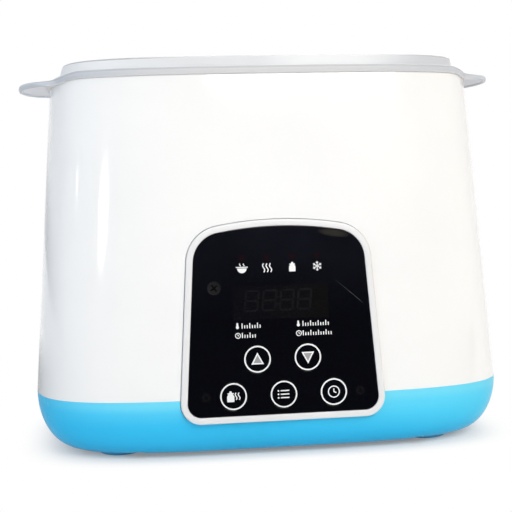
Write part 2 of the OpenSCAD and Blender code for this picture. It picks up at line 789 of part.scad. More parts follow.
module filter_capacitor() {
    color("midnightblue") translate([capacitor_at.x, capacitor_at.y, power_top])
        cylinder(h = capacitor_h, d = capacitor_d);
}

module buzzer() {
    color("black") translate([buzzer_at.x, buzzer_at.y, power_top]) difference() {
        cylinder(h = buzzer_h, d = buzzer_d);
        translate([0, 0, buzzer_h / 2]) cylinder(h = buzzer_h, d = buzzer_d / 6);
    }
}

module ribbon_cable() {
    half_t = ribbon_t / 2;
    bend_y = ribbon_end_y - ribbon_bend;
    bend_z = ribbon_z - ribbon_bend;
    start_y = ribbon_y + ribbon_t * sin(lean);
    outline = concat([[start_y, ribbon_z + half_t]],
        [for (i = [0 : corner_steps]) let (turn = 90 - 90 * i / corner_steps)
            [bend_y, bend_z] + (ribbon_bend + half_t) * [cos(turn), sin(turn)]],
        [[ribbon_end_y + half_t, power_top], [ribbon_end_y - half_t, power_top]],
        [for (i = [0 : corner_steps]) let (turn = 90 * i / corner_steps)
            [bend_y, bend_z] + (ribbon_bend - half_t) * [cos(turn), sin(turn)]],
        [[start_y, ribbon_z - half_t]]);
    color("lightgray") translate([-ribbon_w / 2, 0, 0]) rotate([90, 0, 90])
        linear_extrude(ribbon_w) polygon(outline);
}

module heater_leads() {
    lead_top = plate_under - element_d / 2 + element_flat - element_pin_l;
    color("firebrick") for (end = lead_ends) translate([end.x, end.y, power_top])
        cylinder(h = lead_top - power_top, d = lead_d);
}

// Half of an oval at the right of the rim, reaching out from the flange's edge
function oval(reach, half) = [for (i = [-corner_steps * 2 : corner_steps * 2])
    let (turn = 90 * i / (corner_steps * 2))
    [rim_w / 2 + flange_over + reach * cos(turn), half * sin(turn)]];

// Upright block of an ear's outline between two heights, cut back to a line around the rim
module ear_block(reach, half, low, high, inset) {
    translate([0, 0, low]) linear_extrude(high - low) difference() {
        polygon(concat([[rim_w / 3, -half]], oval(reach, half), [[rim_w / 3, half]]));
        polygon([for (p = ring_points(liner_ring(rim_z, inset))) [p.x, p.y]]);
    }
}

// Ear of the basket at the right: a low tab with a lip along its edge and a root up into the flange
module basket_ear() {
    low = rim_z - ear_drop;
    half = ear_span / 2;
    difference() {
        ear_block(ear_reach, half, low, low + ear_t + ear_lip, -ear_gap);
        ear_block(ear_reach - ear_lip_w, half - ear_lip_w, low + ear_t, rim_z + ear_lip + over, ear_root_in);
    }
    for (level = [[low, -ear_gap], [rim_z, ear_root_in]])
        ear_block(ear_root_out, half - ear_lip_w, level[0], collar_z - ear_lip, level[1]);
}

module basket_divider() {
    low = basket_floor - basket_wall / 2;
    top = basket_floor + divider_h;
    low_y = liner_ring(low, basket_in + basket_wall / 2)[1];
    top_y = liner_ring(top, basket_in + basket_wall / 2)[1];
    foot_y = low_y - tank_round;
    foot_z = low + tank_round;
    dip_r = (top_y * top_y / 2 + divider_dip * divider_dip) / (2 * divider_dip);
    translate([-basket_wall / 2, 0, 0]) rotate([90, 0, 90]) difference() {
        linear_extrude(basket_wall) polygon([[-foot_y, low], [foot_y, low], [low_y, foot_z], [top_y, top],
            [-top_y, top], [-low_y, foot_z]]);
        translate([0, top - divider_dip + dip_r, -over]) cylinder(h = basket_wall + 2 * over, r = dip_r);
    }
}

module bottle_basket() {
    inner = basket_in + basket_wall;
    lip = 0.5;
    bay_x = liner_ring(basket_floor, inner)[0] / 2;
    color([0.86, 0.89, 0.92]) {
        difference() {
            shell(concat(liner_edge(tank_round + basket_wall, basket_under, basket_in),
                [liner_ring(rim_z, basket_in), liner_ring(rim_z, -flange_over),
                    liner_ring(collar_z - lip, -flange_over), liner_ring(collar_z, lip - flange_over),
                    liner_ring(collar_z, collar_in), liner_ring(collar_z + collar_h - lip, collar_in),
                    liner_ring(collar_z + collar_h, collar_in + lip),
                    liner_ring(collar_z + collar_h, collar_in + collar_t - lip),
                    liner_ring(collar_z + collar_h - lip, collar_in + collar_t),
                    liner_ring(collar_z, collar_in + collar_t), liner_ring(collar_z, inner)],
                reversed(liner_edge(tank_round, basket_floor, inner))));
            for (side = [-1, 1], i = [0 : slot_count - 1])
                translate([side * (i + 0.75) * slot_pitch, 0, basket_floor + slot_start + slot_h / 2])
                    cube([slot_w, body_d, slot_h], center = true);
            for (side = [-1, 1]) translate([side * bay_x, 0, basket_under - over]) {
                cylinder(h = basket_wall + 2 * over, d = drain_d);
                for (turn = [0 : 60 : 300]) rotate(turn) translate([drain_ring, 0, 0])
                    cylinder(h = basket_wall + 2 * over, d = drain_d);
            }
        }
        basket_ear();
        rotate(180) basket_ear();
        basket_divider();
    }
}

main_housing();
base_pan();
for (place = FEET) foot(place);
housing_screws();
cord_gland();
panel_bezel();
panel_window();
for (key = KEYS) panel_key(key[1]);
key_switches();
control_board();
control_board_screws();
led_display();
for (i = [0 : 3]) indicator_lamp(i);
water_tank();
heater_plate();
heater_seal();
heater_clamp();
heater_screws();
heating_element();
thermal_cutout();
temperature_sensor();
power_board();
power_board_screws();
transformer();
relay();
filter_capacitor();
buzzer();
ribbon_cable();
heater_leads();
bottle_basket();
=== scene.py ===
"""Looks of a twin bottle warmer and sterilizer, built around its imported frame.

The file is laid out as an add-on and run as a script. Shapes are worked out in millimetres, in the
frame's own axes: X to the right seen from the front, Y to the back and Z up from the floor.
"""
import math
from types import SimpleNamespace

import bmesh
import bpy
import numpy as np
from bpy.props import FloatProperty, FloatVectorProperty, PointerProperty
from mathutils import Matrix, Vector
from mathutils.geometry import tessellate_polygon


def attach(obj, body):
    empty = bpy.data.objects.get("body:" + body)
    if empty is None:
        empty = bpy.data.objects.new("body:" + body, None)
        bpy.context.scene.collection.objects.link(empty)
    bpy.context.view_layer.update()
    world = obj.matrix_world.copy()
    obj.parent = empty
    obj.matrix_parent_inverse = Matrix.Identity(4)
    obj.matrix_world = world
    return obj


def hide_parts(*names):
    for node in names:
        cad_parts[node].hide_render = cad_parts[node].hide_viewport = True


bl_info = {
    "name": "Bottle warmer",
    "version": (1, 0, 0),
    "blender": (4, 5, 0),
    "location": "3D View > Sidebar > Warmer",
    "description": "Builds the visible pieces of a twin bottle warmer around its packed frame",
    "category": "Object",
}

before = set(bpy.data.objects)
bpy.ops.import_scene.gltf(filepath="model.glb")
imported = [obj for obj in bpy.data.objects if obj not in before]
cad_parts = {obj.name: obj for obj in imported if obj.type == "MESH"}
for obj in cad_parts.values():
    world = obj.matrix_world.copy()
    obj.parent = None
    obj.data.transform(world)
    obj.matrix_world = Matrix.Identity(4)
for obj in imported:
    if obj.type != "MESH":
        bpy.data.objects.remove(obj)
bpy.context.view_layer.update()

MM = 0.001
KEY_NODES = ("key_up", "key_down", "key_warm", "key_function", "key_timer")
FEET = {"foot_front_left": (-1, -1), "foot_front_right": (1, -1),
        "foot_rear_left": (-1, 1), "foot_rear_right": (1, 1)}
CORNERS = [(side, end) for side in (-1, 1) for end in (-1, 1)]

# Points around a moulded shell, and how square its outline is at the seam and the rim, where 2 is an ellipse
COLUMNS = 256
BODY_SQUARE, RIM_SQUARE = 3.9, 3.5
# Draft of the tank and the basket
DRAFT = math.tan(math.radians(4.6))
# Middle of the cord gland, and its seat in the back wall
GLAND_X, GLAND_Z, GLAND_SEAT = 40, 21, 77.81
# Places of the four lamps across the panel
LAMP_X = [(i - 1.5) * 12.3 for i in range(4)]
# How deep a print reaches into its face, and how far a white and a dim one stand out of it
PRINT_SINK, PRINT_T, DIM_T = 0.02, 0.03, 0.012


# Sizes and colours that a user may change

def length(name, description, default):
    """A length property with its default in millimetres."""
    return FloatProperty(name=name, description=description, default=default * MM, min=0.0,
                         unit="LENGTH", precision=4)


def colour(name, description, default):
    """A colour property in linear values."""
    return FloatVectorProperty(name=name, description=description, default=default, min=0.0, max=1.0,
                               subtype="COLOR")


class WarmerBodySizes(bpy.types.PropertyGroup):
    """Sizes of the housing, the base and the feet."""
    body_w: length("Body width", "Width of the body at the seam", 242)
    body_d: length("Body depth", "Depth of the body at the seam", 161)
    rim_w: length("Rim width", "Width of the housing at its rim", 218)
    rim_d: length("Rim depth", "Depth of the housing at its rim", 143)
    housing_h: length("Housing height", "Height of the housing from the seam to the rim", 156.8)
    seam_z: length("Seam height", "Height of the seam above the floor", 30.2)
    wall: length("Wall", "Thickness of the housing's and the base's walls", 2.6)
    rim_edge: length("Rim edge", "Radius of the rim's outer edge", 0.4)
    groove: length("Seam groove", "Depth of the groove along the seam", 0.15)
    base_round: length("Base rounding height", "Height of the base's rounded lower edge", 27)
    round_side: length("Base rounding at the sides", "Width of the rounded edge at the left and right", 17)
    round_front: length("Base rounding at the front", "Width of the rounded edge at the front and back", 15)
    foot_lift: length("Foot height", "Height of the feet below the base", 2.2)
    foot_d: length("Foot diameter", "Diameter of a foot", 24)
    foot_x: length("Foot distance across", "Distance of a foot from the middle, to the side", 79)
    foot_y: length("Foot distance along", "Distance of a foot from the middle, to the front or back", 46)


class WarmerPanelSizes(bpy.types.PropertyGroup):
    """Sizes of the control panel and its keys."""
    bezel_w: length("Bezel width", "Width of the bezel at the seam", 100)
    bezel_h: length("Bezel height", "Height of the bezel", 97.9)
    bezel_drop: length("Bezel drop", "How far the bezel reaches below the seam", 11.7)
    bezel_corner: length("Lower corner", "Radius of the bezel's lower corners", 10)
    bezel_shoulder: length("Shoulder", "Radius of the bezel's shoulders", 18)
    bezel_proud: length("Bezel proud", "How far the bezel stands out of the wall", 1)
    frame_w: length("Frame width", "Width of the frame around the window", 3.2)
    key_d: length("Key diameter", "Diameter of a key", 13.4)
    key_pitch: length("Key pitch", "Distance between keys in the lower row", 24.6)
    arrow_pitch: length("Arrow key pitch", "Distance between the two arrow keys", 24.7)
    key_row_v: length("Lower key row", "Height of the lower key row above the seam", 1.2)
    arrow_v: length("Arrow key row", "Height of the arrow keys above the seam", 18.7)
    ring_w: length("Key ring line", "Width of the printed ring around a key", 0.7)
    print_line: length("Print line", "Width of a printed line", 0.5)


class WarmerBasketSizes(bpy.types.PropertyGroup):
    """Sizes of the tank and the lift-out basket."""
    tank_depth: length("Tank depth", "Depth of the tank below the rim", 117)
    tank_wall: length("Tank wall", "Wall thickness of the tank", 1.8)
    basket_wall: length("Basket wall", "Wall thickness of the basket", 2)
    flange_t: length("Flange", "Thickness of the basket's flange", 3.6)
    flange_over: length("Flange overhang", "How far the flange overhangs the rim", 1)
    collar_h: length("Collar height", "Height of the collar above the flange", 5.5)
    collar_in: length("Collar inset", "Distance of the collar from the edge of the rim", 5.5)
    collar_t: length("Collar wall", "Thickness of the collar", 2.2)
    ear_reach: length("Ear reach", "How far an ear reaches out from the flange", 15.8)
    ear_span: length("Ear length", "Length of an ear from front to back", 80)
    ear_drop: length("Ear drop", "How far an ear's underside hangs below the rim", 2.5)
    slot_w: length("Slot width", "Width of a wall slot", 6)
    slot_h: length("Slot height", "Height of a wall slot", 44)
    slot_pitch: length("Slot pitch", "Distance between wall slots", 18)
    drain_d: length("Drain hole", "Diameter of a drain hole", 8)
    drain_ring: length("Drain ring", "Radius of each ring of drain holes", 20)
    divider_h: length("Divider height", "Height of the divider between the bays", 62)


class WarmerColours(bpy.types.PropertyGroup):
    """Colours of the finishes."""
    white: colour("White shell", "Glossy white plastic of the housing", (0.885, 0.885, 0.885))
    blue: colour("Blue base", "Glossy blue plastic of the base", (0.043, 0.54, 0.90))
    # The two blues below are painted light: lighter upward and to the right, and a painted highlight just
    # below the seam
    blue_painted_lit_top: colour("Blue base, upper", "Lighter blue towards the base's upper edge", (0.085, 0.63, 0.93))
    blue_painted_edge_highlight: colour("Blue base, edge", "Palest blue just below the seam", (0.165, 0.685, 0.9))
    bezel: colour("Bezel", "Satin pale plastic of the bezel", (0.765, 0.765, 0.775))
    plate: colour("Window", "Smoked plate of the window and the keys", (0.0017, 0.0019, 0.0036))
    basket: colour("Basket", "Frosted plastic of the basket's thick edges", (0.715, 0.717, 0.735))
    collar: colour("Basket, thin", "Frosted plastic of the basket's thin walls", (0.89, 0.89, 0.895))
    printed: colour("Print", "White print on the window and the keys", (0.82, 0.83, 0.84))


def sizes(context):
    """All sizes in millimetres, with the levels that follow from them."""
    scene, s = context.scene, SimpleNamespace()
    for group in (scene.warmer_body, scene.warmer_panel, scene.warmer_basket):
        for key in group.__annotations__:
            setattr(s, key, getattr(group, key) / MM)
    s.rim_z = s.seam_z + s.housing_h
    s.lean = math.atan((s.body_d - s.rim_d) / 2 / s.housing_h)
    s.screw = (70.0, 63.26)
    s.bezel_top = s.bezel_h - s.bezel_drop
    s.window_face = s.bezel_proud - 0.5
    s.window_back = s.window_face - 1.8
    s.key_face = s.window_face + 0.2
    arrows = [(x, s.arrow_v) for x in (-s.arrow_pitch / 2, s.arrow_pitch / 2)]
    row = [(x, s.key_row_v) for x in (-s.key_pitch, 0, s.key_pitch)]
    s.keys = dict(zip(KEY_NODES, arrows + row))
    s.tank_in = 7.25
    s.tank_seat = s.rim_z - 2.2
    s.tank_floor = s.rim_z - s.tank_depth
    s.basket_in = s.tank_in + s.tank_wall + 1.4
    s.basket_under = s.tank_floor + 8.2
    s.basket_floor = s.basket_under + s.basket_wall
    s.collar_z = s.rim_z + s.flange_t
    s.skirt = 0.25
    s.flange_dip = 0.74 * s.flange_t
    s.dip_start = s.rim_w / 2 - 16
    return s


# Outlines and meshes in millimetres

def polar(angle, half_w, half_d, square):
    """Distance from the middle to a rounded outline at each angle."""
    return (abs(np.cos(angle) / half_w) ** square + abs(np.sin(angle) / half_d) ** square) ** (-1 / square)


def even_angles(half_w, half_d, square):
    """Angles that space points evenly along an outline, from the middle of the front."""
    fine = np.linspace(-np.pi / 2, 1.5 * np.pi, 8 * COLUMNS + 1)
    reach = polar(fine, half_w, half_d, square)
    steps = np.hypot(np.diff(reach * np.cos(fine)), np.diff(reach * np.sin(fine)))
    walked = np.concatenate([[0], np.cumsum(steps)])
    return np.interp(np.linspace(0, walked[-1], COLUMNS, endpoint=False), walked, fine)


# Even steps around the body at the seam, which all rings share
ANGLES = even_angles(121, 80.5, BODY_SQUARE)


def ring(half_w, half_d, square, z):
    """One ring of a moulded shell."""
    reach = polar(ANGLES, half_w, half_d, square)
    return np.stack([reach * np.cos(ANGLES), reach * np.sin(ANGLES), np.full(COLUMNS, z)], -1)


def body_ring(s, z, inset):
    """Outline of the housing at height z, drawn in by inset."""
    up = (z - s.seam_z) / s.housing_h
    half_w = s.body_w / 2 + up * (s.rim_w - s.body_w) / 2 - inset
    half_d = s.body_d / 2 + up * (s.rim_d - s.body_d) / 2 - inset
    return ring(half_w, half_d, BODY_SQUARE + up * (RIM_SQUARE - BODY_SQUARE), z)


def base_ring(s, z, inset):
    """Outline of the base at height z, drawn in by inset."""
    drop = max(0.0, s.foot_lift + s.base_round - z) / s.base_round
    share = 1 - math.sqrt(max(0.0, 1 - drop * drop))
    half_w = s.body_w / 2 - s.round_side * share - inset
    half_d = s.body_d / 2 - s.round_front * share - inset
    return ring(half_w, half_d, BODY_SQUARE, z)


def quarter(steps):
    """Angles of a quarter turn in even steps."""
    return [math.pi / 2 * i / steps for i in range(steps + 1)]


def base_edge(s, wall, steps=16):
    """Rings of the base's rounded lower edge from the bottom up, a wall's thickness within its outside."""
    rings = []
    for turn in quarter(steps):
        share = 1 - math.sin(turn)
        half_w = s.body_w / 2 - wall - (s.round_side - wall) * share
        half_d = s.body_d / 2 - wall - (s.round_front - wall) * share
        z = s.foot_lift + wall + (s.base_round - wall) * (1 - math.cos(turn))
        rings.append(ring(half_w, half_d, BODY_SQUARE, z))
    return rings


def liner_ring(s, z, inset):
    """Outline of tank and basket at height z, with their draft."""
    inset += (s.rim_z - z) * DRAFT
    return ring(s.rim_w / 2 - inset, s.rim_d / 2 - inset, RIM_SQUARE, z)


def liner_edge(s, radius, z, inset, steps=9):
    """Rings of a rounded lower edge of the tank or the basket, from the bottom up."""
    return [liner_ring(s, z + radius * (1 - math.cos(turn)), inset + radius * (1 - math.sin(turn)))
            for turn in quarter(steps)]


def floor_rings(edge):
    """Rings that fill a flat floor inside its edge ring, from the middle out."""
    return [edge * (share, share, 1) for share in (0.04, 0.2, 0.4, 0.6, 0.8, 0.93)]


def strip(low, high, count):
    """Faces between two rings of count points, given the number of each ring's first point."""
    return [(low + j, low + (j + 1) % count, high + (j + 1) % count, high + j) for j in range(count)]


def loft(rings, closed=False):
    """Faces between rings that run counter-clockwise seen from the last: capped, or closed into a tube."""
    count, total = len(rings[0]), len(rings)
    faces = []
    for i in range(total if closed else total - 1):
        faces += strip(i * count, (i + 1) % total * count, count)
    if not closed:
        faces += [tuple(range(count - 1, -1, -1)), tuple(range((total - 1) * count, total * count))]
    return np.vstack(rings), faces


def raised(outline, z):
    """A flat outline at height z."""
    return np.column_stack([outline, np.full(len(outline), z)])


def circle(radius, at=(0, 0), steps=64):
    """Points of a circle in a plane."""
    turns = np.linspace(0, 2 * np.pi, steps, endpoint=False)
    return np.stack([at[0] + radius * np.cos(turns), at[1] + radius * np.sin(turns)], -1)


def turned(profile, at=(0, 0), steps=64, closed=False):
    """Turned shape on an upright axis from (radius, height) steps."""
    return loft([raised(circle(r, at, steps), z) for r, z in profile], closed)


def oblong(x0, y0, x1, y1):
    """Flat outline between two corners."""
    return np.array([(x0, y0), (x1, y0), (x1, y1), (x0, y1)])


def block(low, high):
    """Upright block between two corners."""
    return loft([raised(oblong(*low[:2], *high[:2]), z) for z in (low[2], high[2])])


def turn_way(loop, hole):
    """A loop that runs counter-clockwise, or clockwise if it is a hole."""
    x, y = loop[:, 0], loop[:, 1]
    area = np.dot(x, np.roll(y, -1)) - np.dot(y, np.roll(x, -1))
    return loop if (area > 0) != hole else loop[::-1]


def smooth_step(value, low, high):
    """Smooth rise from 0 at low to 1 at high."""
    share = np.clip((np.asarray(value, float) - low) / (high - low), 0, 1)
    return share * share * (3 - 2 * share)


def drawn_in(loop, distance):
    """A loop moved into the material on its left."""
    middle = np.zeros_like(loop)
    for edge in (loop - np.roll(loop, 1, 0), np.roll(loop, -1, 0) - loop):
        long = np.maximum(np.linalg.norm(edge, axis=1), 1e-9)[:, None]
        middle += np.stack([-edge[:, 1], edge[:, 0]], -1) / long
    return loop + distance * 2 * middle / np.maximum((middle * middle).sum(1), 0.4)[:, None]


def slab(loops, back, front, bevel=0.0, steps=3):
    """Flat plate with holes between two heights, its front edges rounded: the first loop is its outside."""
    loops = [turn_way(np.asarray(loop, float), i > 0) for i, loop in enumerate(loops)]
    levels = [(0.0, back)]
    if bevel:
        levels += [(bevel * (1 - math.cos(t)), front - bevel * (1 - math.sin(t))) for t in quarter(steps)]
        levels.append((bevel * 1.4, front))
    else:
        levels.append((0.0, front))
    points, faces, starts = [], [], []
    for loop in loops:
        count, start = len(loop), sum(map(len, points))
        starts.append(start)
        points += [raised(drawn_in(loop, inset), z) for inset, z in levels]
        for i in range(len(levels) - 1):
            faces += strip(start + i * count, start + (i + 1) * count, count)
    for level in (0, len(levels) - 1):
        lines = [drawn_in(loop, levels[level][0]) for loop in loops]
        ids = [start + level * len(loop) + j for start, loop in zip(starts, loops) for j in range(len(loop))]
        flat = np.vstack(lines)
        for tri in tessellate_polygon([[Vector((x, y, 0)) for x, y in line] for line in lines]):
            a, b, c = flat[list(tri)]
            upward = (b[0] - a[0]) * (c[1] - a[1]) - (b[1] - a[1]) * (c[0] - a[0]) > 0
            corners = tuple(ids[k] for k in tri)
            faces.append(corners if upward == (level > 0) else corners[::-1])
    return np.vstack(points), faces


def stroke(points, width, closed=False):
    """Loops of a line of even width through points."""
    p = np.asarray(points, float)
    if closed:
        p = turn_way(p, False)
        return [drawn_in(p, -width / 2), drawn_in(p, width / 2)]
    along = np.gradient(p, axis=0)
    side = np.stack([-along[:, 1], along[:, 0]], -1) / np.linalg.norm(along, axis=1)[:, None] * width / 2
    return [np.vstack([p - side, (p + side)[::-1]])]


def arc(middle, radius, start, end, steps):
    """Points along part of a circle, angles in degrees."""
    turns = np.radians(np.linspace(start, end, steps + 1))
    return np.stack([middle[0] + radius * np.cos(turns), middle[1] + radius * np.sin(turns)], -1)


def corner_arc(before, corner, after, radius, steps):
    """Points that round one corner of an outline."""
    u, w = (Vector(p) - Vector(corner) for p in (before, after))
    u.normalize()
    w.normalize()
    half = math.acos(u.dot(w)) / 2
    middle = Vector(corner) + (u + w).normalized() * radius / math.sin(half)
    first = Vector(corner) + u * radius / math.tan(half) - middle
    start = math.degrees(math.atan2(first.y, first.x))
    sweep = math.copysign(180 - 2 * math.degrees(half), u.y * w.x - u.x * w.y)
    return arc(middle, radius, start, start + sweep, steps)


def panel_outline(s, inset, steps=20):
    """Outline of the control panel, drawn in by inset: slanted sides, round corners, arched top."""
    slant, arch = math.radians(4), math.radians(10)
    tilt, slope, rise = math.tan(slant), math.tan(arch), 1 / math.cos(arch) - 1
    half_w, low, peak = s.bezel_w / 2 - inset / math.cos(slant), inset - s.bezel_drop, s.bezel_top - inset
    shoulder_r, corner_r = max(s.bezel_shoulder - inset, 1), max(s.bezel_corner - inset, 1)
    shoulder_l = shoulder_r * math.tan((math.pi / 2 - slant - arch) / 2)
    lift = rise * tilt / slope
    shoulder_x = (half_w - peak * tilt + lift * shoulder_l) / (1 - slope * tilt + lift / math.cos(arch))
    arch_r = (shoulder_x / math.cos(arch) - shoulder_l) / slope
    apex, low_x = peak + rise * arch_r, half_w - low * tilt
    shoulder_y = apex - shoulder_x * slope
    corners = [(-low_x, low), (low_x, low), (shoulder_x, shoulder_y), (0, apex), (-shoulder_x, shoulder_y)]
    radii = [corner_r, corner_r, shoulder_r, arch_r, shoulder_r]
    arcs = [corner_arc(corners[i - 1], corners[i], corners[(i + 1) % 5], radii[i], steps) for i in range(5)]
    return np.vstack(arcs)


def on_panel(s, part):
    """A part laid on the leaning panel: X right, Y up the panel, Z outward."""
    points, faces = part
    sine, cosine = math.sin(s.lean), math.cos(s.lean)
    axes = np.array([(1, 0, 0), (0, sine, cosine), (0, -cosine, sine)])
    return points @ axes + (0, -s.body_d / 2, s.seam_z), faces


def on_face(s, loops, face, proud=PRINT_T):
    """A thin print on a face of the panel, from its loops."""
    return on_panel(s, slab(loops, face - PRINT_SINK, face + proud))


def along_gland(part):
    """A turned part laid on the cord gland's axis, which runs to the back."""
    points, faces = part
    return np.stack([points[:, 0] + GLAND_X, points[:, 2], GLAND_Z - points[:, 1]], -1), faces


# Pieces

def joined(parts):
    """Several parts as one list of points and faces."""
    points, faces, start = [], [], 0
    for part_points, part_faces in parts:
        points.append(np.asarray(part_points, float))
        faces += [tuple(start + k for k in face) for face in part_faces]
        start += len(part_points)
    return np.vstack(points), faces


def make_object(name, parts):
    """Object at the origin from parts in millimetres."""
    points, faces = joined(parts)
    mesh = bpy.data.meshes.new(name)
    mesh.from_pydata([tuple(p) for p in points * MM], [], faces)
    shape = bmesh.new()
    shape.from_mesh(mesh)
    bmesh.ops.recalc_face_normals(shape, faces=shape.faces)
    shape.to_mesh(mesh)
    shape.free()
    made = bpy.data.objects.new(name, mesh)
    bpy.context.scene.collection.objects.link(made)
    return made


def evaluated_mesh(made):
    """Plain mesh of an object with its modifiers applied."""
    bpy.context.view_layer.update()
    return bpy.data.meshes.new_from_object(made.evaluated_get(bpy.context.evaluated_depsgraph_get()))


def combine(made, other, operation="DIFFERENCE"):
    """Cut another object out of this one, or join it on, and remove the other."""
    step = made.modifiers.new("combine", "BOOLEAN")
    step.operation, step.object, step.solver = operation, other, "EXACT"
    mesh = evaluated_mesh(made)
    made.modifiers.clear()
    if len(mesh.polygons) < 12:
        raise RuntimeError(f"{made.name} was lost while {other.name} was combined with it")
    made.data = mesh
    bpy.data.objects.remove(other)
    return made


def gather(made, other):
    """Add another object's faces to this one's mesh, and remove the other."""
    whole = bmesh.new()
    for source in (made, other):
        whole.from_mesh(source.data)
    whole.to_mesh(made.data)
    whole.free()
    bpy.data.objects.remove(other)


def settle(made, body, slot, look, *replaced):
    """Clean an object's mesh, shade it, give it its finish and let it ride on a body."""
    shape = bmesh.new()
    shape.from_mesh(made.data)
    bmesh.ops.remove_doubles(shape, verts=shape.verts, dist=0.002 * MM)
    bmesh.ops.dissolve_degenerate(shape, edges=shape.edges, dist=0.001 * MM)
    for face in shape.faces:
        face.smooth, face.material_index = True, 0
    shape.to_mesh(made.data)
    shape.free()
    made.data.set_sharp_from_angle(angle=math.radians(35))
    made.data.materials.clear()
    made.data.materials.append(look)
    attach(made, body)
    if replaced:
        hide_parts(*replaced)
    return made


def repeat_tree(name, ring_layout):
    """Geometry Nodes tree that repeats a piece along a line or around a ring."""
    tree = bpy.data.node_groups.new(name, "GeometryNodeTree")
    kinds = {"Piece": "Object", "Count": "Int", "Start": "Vector", "Step": "Vector", "Radius": "Float",
             "Material": "Material"}
    for label, kind in kinds.items():
        tree.interface.new_socket(label, in_out="INPUT", socket_type="NodeSocket" + kind)
    tree.interface.new_socket("Geometry", in_out="OUTPUT", socket_type="NodeSocketGeometry")
    nodes, link = tree.nodes, tree.links.new
    given, out = nodes.new("NodeGroupInput").outputs, nodes.new("NodeGroupOutput")
    if ring_layout:
        circle_points, places = nodes.new("GeometryNodeMeshCircle"), nodes.new("GeometryNodeTransform")
        link(given["Count"], circle_points.inputs["Vertices"])
        link(given["Radius"], circle_points.inputs["Radius"])
        link(circle_points.outputs[0], places.inputs["Geometry"])
        link(given["Start"], places.inputs["Translation"])
    else:
        places = nodes.new("GeometryNodeMeshLine")
        for label, target in (("Count", "Count"), ("Start", "Start Location"), ("Step", "Offset")):
            link(given[label], places.inputs[target])
    source = nodes.new("GeometryNodeObjectInfo")
    link(given["Piece"], source.inputs["Object"])
    copies = nodes.new("GeometryNodeInstanceOnPoints")
    link(places.outputs[0], copies.inputs["Points"])
    link(source.outputs["Geometry"], copies.inputs["Instance"])
    real, look = nodes.new("GeometryNodeRealizeInstances"), nodes.new("GeometryNodeSetMaterial")
    link(copies.outputs[0], real.inputs[0])
    link(real.outputs[0], look.inputs["Geometry"])
    link(given["Material"], look.inputs["Material"])
    link(look.outputs[0], out.inputs[0])
    return tree


def repeat(name, parts, count, start=(0, 0, 0), step=(0, 0, 0), radius=0.0, look=None):
    """Plain object of a piece repeated along a line, or around a ring if a radius is given."""
    key = "Repeat around a ring" if radius else "Repeat along a line"
    tree = bpy.data.node_groups.get(key) or repeat_tree(key, bool(radius))
    seed = make_object(name + "_one", parts)
    made = make_object(name, [block((0, 0, 0), (1, 1, 1))])
    layout = made.modifiers.new("repeat", "NODES")
    layout.node_group = tree
    values = {"Piece": seed, "Count": count, "Start": Vector(start) * MM, "Step": Vector(step) * MM,
              "Radius": radius * MM, "Material": look}
    for item in tree.interface.items_tree:
        if item.in_out == "INPUT":
            layout[item.identifier] = values[item.name]
    mesh = evaluated_mesh(made)
    made.modifiers.clear()
    made.data = mesh
    bpy.data.objects.remove(seed)
    return made


# Finishes

class Sock:
    """An output socket of a material, with arithmetic that adds Math nodes."""

    def __init__(self, tree, out):
        self.tree, self.out = tree, out

    def node(self, kind, settings=None, inputs=None, output=0):
        """Output of a new node with these settings, and these values or links on its sockets."""
        made = self.tree.nodes.new(kind)
        for key, value in (settings or {}).items():
            setattr(made, key, value)
        for key, value in (inputs or {}).items():
            if isinstance(value, Sock):
                self.tree.links.new(value.out, made.inputs[key])
            else:
                made.inputs[key].default_value = value
        return Sock(self.tree, made.outputs[output])

    def other(self, output):
        """Another output of the same node."""
        return Sock(self.tree, self.out.node.outputs[output])

    def maths(self, operation, *values):
        """Result of a Math node."""
        return self.node("ShaderNodeMath", {"operation": operation}, dict(enumerate(values)))

    def __add__(self, other):
        return self.maths("ADD", self, other)

    __radd__ = __add__

    def __sub__(self, other):
        return self.maths("SUBTRACT", self, other)

    def __rsub__(self, other):
        return self.maths("SUBTRACT", other, self)

    def __mul__(self, other):
        return self.maths("MULTIPLY", self, other)

    __rmul__ = __mul__

    def __truediv__(self, other):
        return self.maths("DIVIDE", self, other)

    def __abs__(self):
        return self.maths("ABSOLUTE", self)

    def __pow__(self, other):
        return self.maths("POWER", self, other)

    def most(self, other):
        """The larger of two values."""
        return self.maths("MAXIMUM", self, other)

    def ease(self, low, high):
        """Smooth rise from 0 at low to 1 at high."""
        values = {0: self, 1: low, 2: high}
        return self.node("ShaderNodeMapRange", {"interpolation_type": "SMOOTHSTEP"}, values)

    def noise(self, scale, detail=2.0, roughness=0.5):
        """Noise on these coordinates, from 0 to 1."""
        values = {"Vector": self, "Scale": scale, "Detail": detail, "Roughness": roughness}
        return self.node("ShaderNodeTexNoise", inputs=values)

    def lines(self, scale, detail):
        """Noise along this value alone, from 0 to 1."""
        values = {"W": self, "Scale": scale, "Detail": detail}
        return self.node("ShaderNodeTexNoise", {"noise_dimensions": "1D"}, values)

    def blend(self, first, second):
        """Colour between two others by this factor."""
        first, second = (v if isinstance(v, Sock) else (*v, 1.0) for v in (first, second))
        return self.node("ShaderNodeMix", {"data_type": "RGBA"}, {0: self, 6: first, 7: second}, 2)

    def axes(self):
        """The three coordinates, in millimetres."""
        split = self.node("ShaderNodeSeparateXYZ", inputs={0: self})
        return [split.other(i) * (1 / MM) for i in range(3)]


